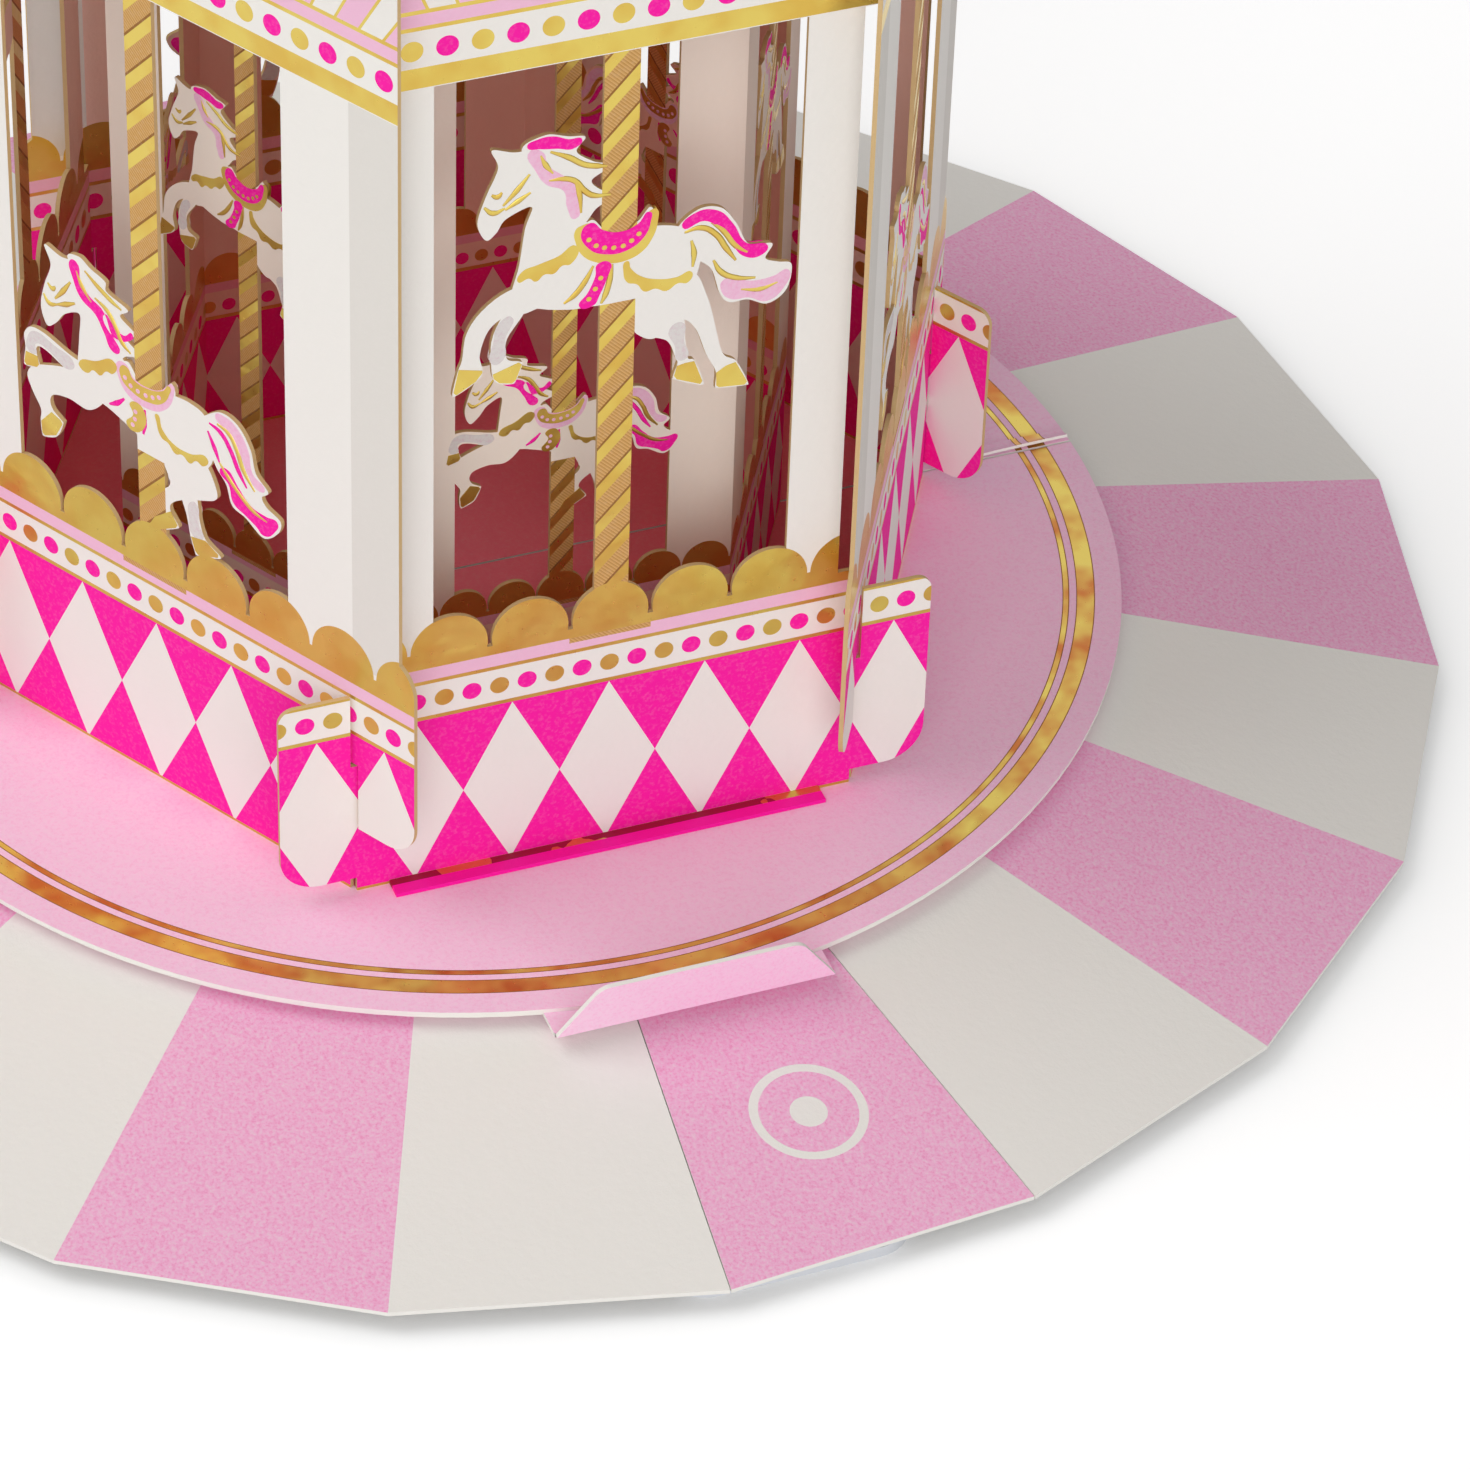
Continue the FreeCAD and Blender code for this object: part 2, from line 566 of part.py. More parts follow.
def make_drive():
    """Spindle, hub gear with its flange, idler and motor."""
    clip_top = clip_bottom + clip_thickness
    save("spindle", post(spindle_radius, spindle_seat, clip_top + spindle_above_clip))
    clip = post(clip_radius, clip_bottom, clip_top)
    save("hub_clip", clip.cut(post(spindle_radius, clip_bottom, clip_top)))
    hub = fused([turned(gear(hub_module, hub_teeth, hub_gear_bottom, hub_gear_top), drive_angle),
                 post(hub_sleeve_radius, thrust_top, liner_bottom),
                 post(hub_flange_radius, flange_bottom, liner_bottom)])
    save("hub_gear", hub.cut(post(spindle_radius + shaft_clearance, 0, liner_top)))

    boss_top = tray_floor + idler_boss_height
    wheel_top = idler_wheel_bottom + idler_wheel_thickness
    pin_top = wheel_top + idler_pin_above
    save("idler_pin", post(idler_pin_radius, spindle_seat, pin_top, idler_place))
    pinion = turned(gear(hub_module, idler_pinion_teeth, boss_top, idler_wheel_bottom),
                    drive_angle + 180 + 180.0 / idler_pinion_teeth)
    wheel = turned(gear(motor_module, idler_wheel_teeth, idler_wheel_bottom, wheel_top), drive_angle)
    idler = fused([pinion, wheel]).cut(post(idler_pin_radius + shaft_clearance, 0, tray_height))
    idler.translate(idler_place)
    save("idler_gear", idler)

    can_top = idler_wheel_bottom - motor_pinion_gap
    shaft_bottom = can_top - motor_shaft_in
    can = post(motor_radius, tray_floor, can_top, motor_place)
    save("motor_can", can.cut(post(motor_shaft_radius + shaft_clearance, shaft_bottom, can_top, motor_place)))
    pinion = gear(motor_module, motor_pinion_teeth, idler_wheel_bottom, wheel_top)
    pinion = turned(pinion, drive_angle + 180 + 180.0 / motor_pinion_teeth)
    rotor = fused([pinion, post(motor_shaft_radius, shaft_bottom, wheel_top)])
    rotor.translate(motor_place)
    save("motor_pinion", rotor)


def make_platform():
    """Two half discs over a liner disc with the lift tab at its front."""
    root_end = tab_crease - tab_crease_gap - card / 2
    root = block(-tab_root_width / 2, tab_root_width / 2, -root_end, 0, liner_bottom, liner_top)
    liner = fused([post(liner_radius, liner_bottom, liner_top), root])
    save("platform_liner", liner.cut(post(liner_hole_radius, liner_bottom, liner_top)))
    disc = post(platform_radius, liner_top, platform_top)
    reach = 2 * platform_radius
    for name, side in (("platform_front", -1), ("platform_back", 1)):
        half = block(-reach, reach, 0, reach, 0, ceiling_top)
        half.translate(Vector(0, seam_gap / 2, 0))
        if side < 0:
            half.rotate(Vector(0, 0, 0), Vector(0, 0, 1), 180)
        save(name, disc.common(half))
    near = -(tab_crease + tab_crease_gap)
    far = -(tab_crease + tab_length)
    corners = [Vector(-tab_root_width / 2, near, liner_bottom), Vector(-tab_tip_width / 2, far, liner_bottom),
               Vector(tab_tip_width / 2, far, liner_bottom), Vector(tab_root_width / 2, near, liner_bottom)]
    flap = Part.Face(Part.makePolygon(corners + corners[:1])).extrude(Vector(0, 0, card))
    tips = [edge for edge in flap.Edges if edge.BoundBox.ZLength > card / 2 and edge.BoundBox.YMax < near - 1]
    flap = flap.makeFillet(tab_corner, tips)
    flap.rotate(Vector(0, -tab_crease, liner_bottom + card / 2), Vector(1, 0, 0), -tab_stand)
    save("lift_tab", flap)


def upright(u0, u1, v0, v1):
    """Rectangle of card in the XZ plane."""
    return block(u0, u1, 0, card, v0, v1)


def both_sides(u0, u1, v0, v1):
    """The same rectangle of card at both ends of a wall."""
    return [upright(u0, u1, v0, v1), upright(-u1, -u0, v0, v1)]


def rounded(u0, u1, v0, v1, low_corner, top_corner):
    """Rectangle of card with rounded corners."""
    sheet = upright(u0, u1, v0, v1)
    middle = (v0 + v1) / 2
    ends = [edge for edge in sheet.Edges if edge.BoundBox.YLength > card / 2]
    sheet = sheet.makeFillet(low_corner, [edge for edge in ends if edge.BoundBox.ZMax < middle])
    ends = [edge for edge in sheet.Edges if edge.BoundBox.YLength > card / 2]
    return sheet.makeFillet(top_corner, [edge for edge in ends if edge.BoundBox.ZMin > middle])


def scallop(u, v, radius):
    """Round of card that tops the band."""
    return Part.makeCylinder(radius, card, Vector(u, 0, v), Vector(0, 1, 0))


def horse(loops, saddle, scale):
    """Horse on the pole, at a saddle height."""
    pieces = []
    for points in loops.values():
        pieces.append(smooth_loop([(scale * u, saddle + scale * v) for u, v in points]))
    return pieces


def outer_wall(over):
    """One die-cut wall, upright at the origin: the over kind has wings, the under kind has low tabs."""
    corner = hex_side / 2
    end = corner + wall_reach
    scallops = int((corner - scallop_radius / 2) / scallop_pitch)
    pieces = [upright(-corner, corner, 0, band_height),
              upright(-pole_width / 2, pole_width / 2, band_height - 1, cornice_bottom + 1)]
    for k in range(-scallops, scallops + 1):
        pieces.append(scallop(k * scallop_pitch, scallop_height, scallop_radius))
    base = band_height - 1
    if over:
        for side in (-1, 1):
            wing = rounded(end - 2 * wall_reach, end, wing_bottom, scallop_height, wing_corner, wing_corner)
            wing = wing.fuse(scallop(end - scallop_radius, scallop_height, scallop_radius))
            pieces.append(wing if side > 0 else wing.mirror(Vector(0, 0, 0), Vector(1, 0, 0)))
        pieces += both_sides(corner, end, band_height - wing_corner, scallop_height)
        column_inner = over_column_outer - over_column_width
        pieces += both_sides(column_inner, over_column_outer, base, cornice_bottom + 1)
        cornice_end = over_column_outer
        pieces += horse(leap_loops, low_saddle, 1.0)
    else:
        for side in (-1, 1):
            low_tab = rounded(end - 2 * wall_reach, end, low_tab_bottom, low_tab_top, low_tab_corner,
                              low_tab_top_corner)
            pieces.append(low_tab if side > 0 else low_tab.mirror(Vector(0, 0, 0), Vector(1, 0, 0)))
        column_inner = under_column_outer - under_column_width
        pieces += both_sides(column_inner, under_column_outer, base, cornice_bottom + 1)
        cornice_end = corner - card * math.sin(math.radians(side_turn))
        pieces += horse(gallop_loops, high_saddle, 1.0)
    pieces.append(upright(-cornice_end, cornice_end, cornice_bottom, wall_top))
    wall = fused(pieces)
    cuts = []
    for side in (-1, 1):
        left = side * corner - slot_width / 2
        right = left + slot_width
        if over:
            cuts.append(upright(left, right, -1, slot_meet + slot_end_gap))
        else:
            cuts.append(upright(left, right, slot_meet, cornice_bottom - 1))
    wall = wall.cut(cuts)
    if not over:
        foot = block(-foot_width / 2, foot_width / 2, -foot_depth, card / 2, 0, card)
        flaps = []
        for side in (-1, 1):
            flap = block(-card, flap_length, -card / 2, card / 2, cornice_bottom, wall_top)
            flap.translate(Vector(0, card, 0))
            flap.rotate(Vector(0, 0, 0), Vector(0, 0, 1), side_turn)
            flap.translate(Vector(corner, card / 2, 0))
            flaps.append(flap if side > 0 else flap.mirror(Vector(0, 0, 0), Vector(1, 0, 0)))
        wall = fused([wall, foot] + flaps)
    return wall


def inner_wall(loops, saddle):
    """One inner wall, upright at the origin, with room at its ends for the mitres."""
    corner = inner_side / 2
    pitch = inner_side / inner_scallop_count
    low = inner_band_height - 1
    high = inner_rail_bottom + 1
    pieces = [upright(-corner - card, corner + card, 0, inner_band_height),
              upright(-corner - card, corner + card, inner_rail_bottom, wall_top),
              upright(-inner_pole_width / 2, inner_pole_width / 2, low, high)]
    pieces += both_sides(corner - inner_column_width, corner + card, low, high)
    for k in range(inner_scallop_count):
        place = (k - (inner_scallop_count - 1) / 2) * pitch
        pieces.append(scallop(place, inner_band_height + inner_scallop_rise, (pitch - inner_scallop_gap) / 2))
    pieces += horse(loops, saddle, inner_horse_scale)
    return fused(pieces)


def make_walls():
    """Six outer walls, over and under in turn, and six mitred inner walls."""
    outer = {over: outer_wall(over) for over in (False, True)}
    inner = {False: inner_wall(leap_loops, inner_low_saddle),
             True: inner_wall(gallop_loops, inner_high_saddle)}
    wedge = sector(-90, half_side, 2 * inner_apothem, platform_top, ceiling_bottom)
    for shape in outer.values():
        shape.translate(Vector(0, -hex_apothem - card / 2, platform_top))
    for over in inner:
        inner[over].translate(Vector(0, -inner_apothem - card / 2, platform_top))
        inner[over] = inner[over].common(wedge)
    for k in range(side_count):
        over = k % 2 == 1
        save("wall_" + str(k + 1), turned(outer[over], k * side_turn))
        save("inner_wall_" + str(k + 1), turned(inner[over], k * side_turn))


def make_roof():
    """Ceiling card, six roof panels, cap and the crossed finial cards."""
    first = -90 + half_side
    corner = hex_side
    save("ceiling_card", prism(side_count, corner + ceiling_overhang, ceiling_bottom, ceiling_top, first))
    eave = corner + eave_overhang
    roof_top = ceiling_top + roof_rise
    outside = frustum(side_count, eave, ceiling_top, roof_top_radius, roof_top, first)
    slope = roof_rise / (eave - roof_top_radius)
    inset = roof_thickness / slope
    inside = frustum(side_count, eave - inset, ceiling_top, roof_top_radius - inset, roof_top, first)
    shell = outside.cut(inside)
    for k in range(side_count):
        panel = shell.common(sector(-90 + k * side_turn, half_side, 2 * eave, ceiling_top, roof_top))
        save("roof_panel_" + str(k + 1), panel)
    cap = prism(side_count, cap_radius, roof_top - cap_skirt, roof_top + cap_height, first)
    cap_mouth = roof_top_radius + cap_skirt / slope
    hollow = frustum(side_count, cap_mouth, roof_top - cap_skirt, roof_top_radius, roof_top, first)
    save("roof_cap", cap.cut(hollow))

    foot = roof_top + cap_height
    middle = foot + finial_neck + finial_ball_radius
    tip = foot + finial_height
    ball = Part.makeCylinder(finial_ball_radius, card, Vector(0, -card / 2, middle), Vector(0, 1, 0))
    spear = [Vector(-finial_foot_width / 2, -card / 2, foot), Vector(finial_foot_width / 2, -card / 2, foot),
             Vector(finial_tip_width / 2, -card / 2, tip), Vector(-finial_tip_width / 2, -card / 2, tip)]
    blade = fused([ball, Part.Face(Part.makePolygon(spear + spear[:1])).extrude(Vector(0, card, 0))])
    slot = card + 2 * finial_slot_clearance
    upper = block(-slot / 2, slot / 2, -card, card, middle, tip)
    lower = block(-slot / 2, slot / 2, -card, card, foot, middle)
    save("finial_card_front", blade.cut(upper))
    save("finial_card_side", turned(blade.cut(lower), 90))


idler_place = polar(hub_center_distance, drive_angle)
motor_place = polar(hub_center_distance + motor_center_distance, drive_angle)
speaker_place = polar(speaker_distance, speaker_angle)
idler_boss_radius = hub_module * (idler_pinion_teeth / 2 - dedendum_factor)
screw_spots = [polar(screw_circle, screw_first_angle + 360.0 * k / screw_count) for k in range(screw_count)]

make_tray()
make_cover()
make_skirt()
make_electronics()
make_drive()
make_platform()
make_walls()
make_roof()
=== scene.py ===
import math

import bpy
from mathutils import Matrix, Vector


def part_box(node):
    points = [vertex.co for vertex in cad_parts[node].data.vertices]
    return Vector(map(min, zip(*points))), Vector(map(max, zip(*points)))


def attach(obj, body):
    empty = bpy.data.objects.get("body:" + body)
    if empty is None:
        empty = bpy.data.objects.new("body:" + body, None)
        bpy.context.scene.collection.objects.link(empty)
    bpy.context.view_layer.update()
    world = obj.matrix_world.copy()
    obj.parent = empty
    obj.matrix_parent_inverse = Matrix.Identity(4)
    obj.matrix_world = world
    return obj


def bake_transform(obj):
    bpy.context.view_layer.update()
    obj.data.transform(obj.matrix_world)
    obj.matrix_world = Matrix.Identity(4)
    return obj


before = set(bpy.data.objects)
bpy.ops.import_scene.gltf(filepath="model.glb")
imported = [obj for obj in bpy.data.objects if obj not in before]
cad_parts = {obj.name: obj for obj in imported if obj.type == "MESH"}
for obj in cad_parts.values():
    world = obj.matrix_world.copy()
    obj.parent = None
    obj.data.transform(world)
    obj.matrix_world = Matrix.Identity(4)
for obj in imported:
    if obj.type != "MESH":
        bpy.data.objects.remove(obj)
bpy.ops.object.select_all(action="DESELECT")
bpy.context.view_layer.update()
scene = bpy.context.scene
scene.view_settings.view_transform = "Standard"
MM = 0.001

# Studio: a white sweep under two wide soft lamps, one high at the left and one in front.
# A long lens above the front left corner keeps the upright poles nearly parallel.
# The sweep glows less close to the object, a painted contact shadow that deepens the real one.
camera_place = (-0.17684, -0.51359, 0.43938)
camera_turn = math.radians(22.02)
camera_dip = math.radians(39.68)
camera_roll = math.radians(2.18)
aim = Matrix.Rotation(-camera_turn, 3, "Z") @ Matrix.Rotation(math.pi / 2 - camera_dip, 3, "X")
aim = aim @ Matrix.Rotation(camera_roll, 3, "Z")
bpy.ops.object.camera_add(location=camera_place, rotation=aim.to_euler())
camera = bpy.context.object
camera.data.lens = 167.25
camera.data.sensor_width = 36
camera.data.clip_start = 0.01
scene.camera = camera


def linear(colour):
    """Linear colour from an sRGB hex value."""
    shares = [int(colour[k:k + 2], 16) / 255 for k in (1, 3, 5)]
    return [s / 12.92 if s < 0.04045 else ((s + 0.055) / 1.055) ** 2.4 for s in shares] + [1]


def add_node(tree, kind, inputs, **settings):
    """Node of a kind, with its settings, and its inputs set or linked."""
    made = tree.nodes.new("ShaderNode" + kind)
    for name, value in settings.items():
        setattr(made, name, value)
    for key, value in inputs.items():
        if isinstance(value, bpy.types.NodeSocket):
            tree.links.new(value, made.inputs[key])
        else:
            made.inputs[key].default_value = value
    return made


def seen_share(tree):
    """1 where the eye or a mirror looks, and 0 for all other light."""
    path = add_node(tree, "LightPath", {})
    mirrored = add_node(tree, "Math", {0: path.outputs["Is Glossy Ray"],
                                       1: path.outputs["Is Transmission Ray"]}, operation="MAXIMUM")
    seen = add_node(tree, "Math", {0: path.outputs["Is Camera Ray"], 1: mirrored.outputs[0]},
                    operation="MAXIMUM")
    return seen.outputs[0]


floor_glow = 0.41
shade_reach = 14.0
sky_side = (-0.35, 0.6, 0.72)
floor_size = 6.0
air_light, air_seen = 0.33, 1.0
bpy.ops.mesh.primitive_plane_add(size=floor_size)
floor = bpy.context.object
floor.name = "studio_floor"
sweep = bpy.data.materials.new("white_sweep_paper")
sweep.use_nodes = True
tree = sweep.node_tree
shader = tree.nodes["Principled BSDF"]
shader.inputs["Roughness"].default_value = 0.9
seen = seen_share(tree)
paper = add_node(tree, "Mix", {"Factor": seen, 6: linear("#F2F2F2"), 7: linear("#EEEEEE")},
                 data_type="RGBA")
tree.links.new(paper.outputs[2], shader.inputs["Base Color"])
glow = add_node(tree, "Math", {0: seen, 1: floor_glow}, operation="MULTIPLY")
# The glow is dimmed near the object by occlusion that leans to the back left: a painted contact shadow.
painted_contact_shadow = add_node(tree, "AmbientOcclusion", {"Distance": shade_reach * MM, "Normal": sky_side}, samples=4)
white = add_node(tree, "Emission", {"Color": painted_contact_shadow.outputs[0], "Strength": glow.outputs[0]})
both = add_node(tree, "AddShader", {0: shader.outputs[0], 1: white.outputs[0]})
tree.links.new(both.outputs[0], tree.nodes["Material Output"].inputs["Surface"])
floor.data.materials.append(sweep)

world = bpy.data.worlds.new("studio_air")
scene.world = world
world.use_nodes = True
tree = world.node_tree
tree.nodes["Background"].inputs["Color"].default_value = linear("#FFFFFF")
air = add_node(tree, "MapRange", {"Value": seen_share(tree), 3: air_light, 4: air_seen})
tree.links.new(air.outputs[0], tree.nodes["Background"].inputs["Strength"])

for name, place, size, power in (("key_lamp", (-0.85, 0.2, 1.3), 1.1, 7.4),
                                 ("front_lamp", (-0.4, -1.3, 0.6), 1.35, 10.4)):
    bpy.ops.object.light_add(type="AREA", location=place)
    lamp = bpy.context.object
    lamp.name = name
    lamp.data.shape = "DISK"
    lamp.data.size = size
    lamp.data.energy = power
    lamp.rotation_euler = (-lamp.location).to_track_quat("-Z", "Y").to_euler()

# Base tray, its lid and the soft start button: injection-moulded white plastic with a fine spark texture.
# The lid is held from below by five steel screws.
flow_mark = 9.0
draw_stretch = 12.0


def dress(names, material):
    """Give CAD nodes their finish."""
    for name in names:
        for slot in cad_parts[name].material_slots:
            slot.material = material


def moulded(name, colour, roughness, grit=0.35):
    """Moulded plastic: even colour with faint flow marks, and a spark-eroded grain."""
    material = bpy.data.materials.new(name)
    material.use_nodes = True
    tree = material.node_tree
    shader = tree.nodes["Principled BSDF"]
    shader.inputs["Roughness"].default_value = roughness
    place = add_node(tree, "TexCoord", {})
    flow = add_node(tree, "TexNoise", {"Vector": place.outputs["Object"], "Scale": 1 / (flow_mark * MM),
                                       "Detail": 2.0})
    tone = add_node(tree, "ValToRGB", {"Fac": flow.outputs[0]})
    tone.color_ramp.elements[0].color = [0.9 * c for c in linear(colour)[:3]] + [1]
    tone.color_ramp.elements[1].color = linear(colour)
    tree.links.new(tone.outputs[0], shader.inputs["Base Color"])
    grain = add_node(tree, "TexNoise", {"Vector": place.outputs["Object"], "Scale": 1 / (grit * MM)})
    bump = add_node(tree, "Bump", {"Height": grain.outputs[0], "Strength": 0.3, "Distance": 0.02 * MM})
    tree.links.new(bump.outputs[0], shader.inputs["Normal"])
    return material


def drawn_metal(name, colour, roughness, line=0.25):
    """Bare metal with fine drawing lines that vary its gloss."""
    material = bpy.data.materials.new(name)
    material.use_nodes = True
    tree = material.node_tree
    shader = tree.nodes["Principled BSDF"]
    shader.inputs["Base Color"].default_value = linear(colour)
    shader.inputs["Metallic"].default_value = 1.0
    place = add_node(tree, "TexCoord", {})
    along = add_node(tree, "Mapping", {"Vector": place.outputs["Object"], "Scale": (1, 1, draw_stretch)})
    lines = add_node(tree, "TexNoise", {"Vector": along.outputs[0], "Scale": 1 / (draw_stretch * line * MM),
                                        "Detail": 4.0})
    gloss = add_node(tree, "MapRange", {"Value": lines.outputs[0], 3: roughness - 0.08, 4: roughness + 0.12})
    tree.links.new(gloss.outputs[0], shader.inputs["Roughness"])
    return material


dress(("base_tray", "tray_cover"), moulded("moulded_white_plastic", "#E1E3E9", 0.45))
dress(("press_button",), moulded("white_silicone_rubber", "#E4E4E0", 0.6))
bare_steel = drawn_metal("plain_steel", "#B8B8B6", 0.3)
dress(("cover_screws", "spindle", "hub_clip", "idler_pin", "motor_can"), bare_steel)

# Drive: a small motor turns a brass pinion, an idler and the wide hub wheel that carries the platform.
# The wheels are cut from natural nylon and run dry on steel pins.
dress(("hub_gear", "idler_gear"), moulded("natural_nylon", "#E4DCC6", 0.5))
dress(("motor_pinion", "cell_contact"), drawn_metal("plain_brass", "#C9A456", 0.28))

# Sound module: a green board with a resin-covered chip, a paper-cone speaker and three button cells.
# Red leads run over the tray floor between them.
dress(("cell_holder", "switch_body", "speaker_frame"), moulded("black_plastic", "#1B1B1C", 0.5))
dress(("sound_chip",), moulded("black_potting_resin", "#0E0E0F", 0.15, grit=1.5))
dress(("lead_wires",), moulded("red_wire_sleeve", "#B01E18", 0.4))
dress(("speaker_magnet",), drawn_metal("plated_magnet", "#BDBDBD", 0.2))
dress(("button_cells",), drawn_metal("cell_can_steel", "#C6C4BE", 0.25))

board_mask = bpy.data.materials.new("green_solder_mask")
board_mask.use_nodes = True
tree = board_mask.node_tree
shader = tree.nodes["Principled BSDF"]
shader.inputs["Roughness"].default_value = 0.3
place = add_node(tree, "TexCoord", {})
tracks = add_node(tree, "TexBrick", {
    "Vector": place.outputs["Object"], "Color1": linear("#1B5B33"), "Color2": linear("#1F6639"),
    "Mortar": linear("#2F7F4A"), "Scale": 1 / MM, "Mortar Size": 0.18, "Brick Width": 6.0, "Row Height": 1.6})
tree.links.new(tracks.outputs[0], shader.inputs["Base Color"])
dress(("circuit_board",), board_mask)

cone_pulp = bpy.data.materials.new("grey_pulp_paper")
cone_pulp.use_nodes = True
tree = cone_pulp.node_tree
shader = tree.nodes["Principled BSDF"]
shader.inputs["Roughness"].default_value = 0.85
place = add_node(tree, "TexCoord", {})
pulp_fibre = 0.6
fibres = add_node(tree, "TexNoise", {"Vector": place.outputs["Object"], "Scale": 1 / (pulp_fibre * MM),
                                     "Detail": 6.0})
tone = add_node(tree, "ValToRGB", {"Fac": fibres.outputs[0]})
tone.color_ramp.elements[0].color = linear("#22201E")
tone.color_ramp.elements[1].color = linear("#3A3734")
tree.links.new(tone.outputs[0], shader.inputs["Base Color"])
dress(("speaker_cone",), cone_pulp)

# Skirt: twenty flat sectors scored in one sheet of felt-marked card, printed pink and white in turn.
# One sector is slit free at its sides, so that it springs when it is pressed over the start button.
WHITE_CARD = "#F3F0EA"
LIGHT_PINK = "#F9B8DB"
sector_degrees = 18.0
leaf_degrees = -85.5
mark_distance = 82.5
mark_radius = 5.2
mark_line = 0.9
mark_dot = 1.8
card_roughness = 0.72
felt_mark = 0.8
felt_depth = 0.1
felt_strength = 0.6
ink_grain = 0.35
pooling = (0.1, 0.76, 0.44)
skirt_stipple = 0.42


def felt_card(name, turn=0.0, lift=0.0):
    """Heavy felt-marked card: its tree, shader, and places in millimetres, turned about the spindle."""
    material = bpy.data.materials.new(name)
    material.use_nodes = True
    tree = material.node_tree
    shader = tree.nodes["Principled BSDF"]
    shader.inputs["Roughness"].default_value = card_roughness
    shader.inputs["Specular IOR Level"].default_value = 0.3
    place = add_node(tree, "TexCoord", {})
    turned = (0, 0, -math.radians(turn))
    spot = add_node(tree, "Mapping", {"Vector": place.outputs["Object"], "Location": (0, 0, -lift),
                                      "Rotation": turned, "Scale": (1 / MM, 1 / MM, 1 / MM)})
    facing = add_node(tree, "Mapping", {"Vector": place.outputs["Normal"], "Rotation": turned},
                      vector_type="VECTOR")
    felt = add_node(tree, "TexNoise", {"Vector": spot.outputs[0], "Scale": 1 / felt_mark, "Detail": 4.0,
                                       "Roughness": 0.6})
    bump = add_node(tree, "Bump", {"Height": felt.outputs[0], "Strength": felt_strength,
                                   "Distance": felt_depth * MM})
    tree.links.new(bump.outputs[0], shader.inputs["Normal"])
    axes = add_node(tree, "SeparateXYZ", {0: spot.outputs[0]})
    normal = add_node(tree, "SeparateXYZ", {0: facing.outputs[0]})
    return material, tree, shader, spot, axes, normal


def stippled(tree, spot, colour, paper, bare):
    """Flat ink over the felt: it pools between the fibres, and the high ones take less of it."""
    grain = add_node(tree, "TexNoise", {"Vector": spot.outputs[0], "Scale": 1 / ink_grain, "Detail": 3.0,
                                        "Roughness": 0.65})
    ink = linear(colour)
    pooled = [(1 - bare * loss) * c for loss, c in zip(pooling, ink)] + [1]
    thin = [(1 - bare) * c + bare * p for c, p in zip(ink, linear(paper))]
    tone = add_node(tree, "ValToRGB", {"Fac": grain.outputs[0]})
    tone.color_ramp.elements.new(0.5)
    for stop, place, shade in zip(tone.color_ramp.elements, (0.3, 0.5, 0.75), (pooled, ink, thin)):
        stop.position = place
        stop.color = shade
    return tone.outputs[0]


first_edge = leaf_degrees + sector_degrees / 2
striped, tree, shader, spot, axes, normal = felt_card("striped_felt_card", turn=first_edge)
angle = add_node(tree, "Math", {0: axes.outputs["Y"], 1: axes.outputs["X"]}, operation="ARCTAN2")
sector = add_node(tree, "Math", {0: angle.outputs[0], 1: math.radians(sector_degrees)}, operation="DIVIDE")
step = add_node(tree, "Math", {0: sector.outputs[0], 1: 2.0, 2: 0.0}, operation="WRAP")
pink_turn = add_node(tree, "Math", {0: step.outputs[0], 1: 1.0}, operation="GREATER_THAN")
top_side = add_node(tree, "Math", {0: normal.outputs["Z"], 1: 0.5}, operation="GREATER_THAN")
inked = add_node(tree, "Math", {0: pink_turn.outputs[0], 1: top_side.outputs[0]}, operation="MULTIPLY")
ink = stippled(tree, spot, LIGHT_PINK, WHITE_CARD, skirt_stipple)
colour = add_node(tree, "Mix", {"Factor": inked.outputs[0], 6: linear(WHITE_CARD), 7: ink},
                  data_type="RGBA")
tree.links.new(colour.outputs[2], shader.inputs["Base Color"])
dress(("skirt",), striped)

pressing, tree, shader, spot, axes, normal = felt_card("pink_felt_card_with_press_mark", turn=leaf_degrees)
along = add_node(tree, "Math", {0: axes.outputs["X"], 1: mark_distance}, operation="SUBTRACT")
flat = add_node(tree, "CombineXYZ", {0: along.outputs[0], 1: axes.outputs["Y"]})
away = add_node(tree, "VectorMath", {0: flat.outputs[0]}, operation="LENGTH")
ring = add_node(tree, "Math", {0: away.outputs["Value"], 1: mark_radius, 2: mark_line / 2},
                operation="COMPARE")
dot = add_node(tree, "Math", {0: away.outputs["Value"], 1: mark_dot}, operation="LESS_THAN")
mark = add_node(tree, "Math", {0: ring.outputs[0], 1: dot.outputs[0]}, operation="MAXIMUM")
top_side = add_node(tree, "Math", {0: normal.outputs["Z"], 1: 0.5}, operation="GREATER_THAN")
bare = add_node(tree, "Math", {0: top_side.outputs[0], 1: mark.outputs[0]}, operation="SUBTRACT")
ink = stippled(tree, spot, LIGHT_PINK, WHITE_CARD, skirt_stipple)
colour = add_node(tree, "Mix", {"Factor": bare.outputs[0], 6: linear(WHITE_CARD), 7: ink},
                  data_type="RGBA")
tree.links.new(colour.outputs[2], shader.inputs["Base Color"])
dress(("press_leaf",), pressing)

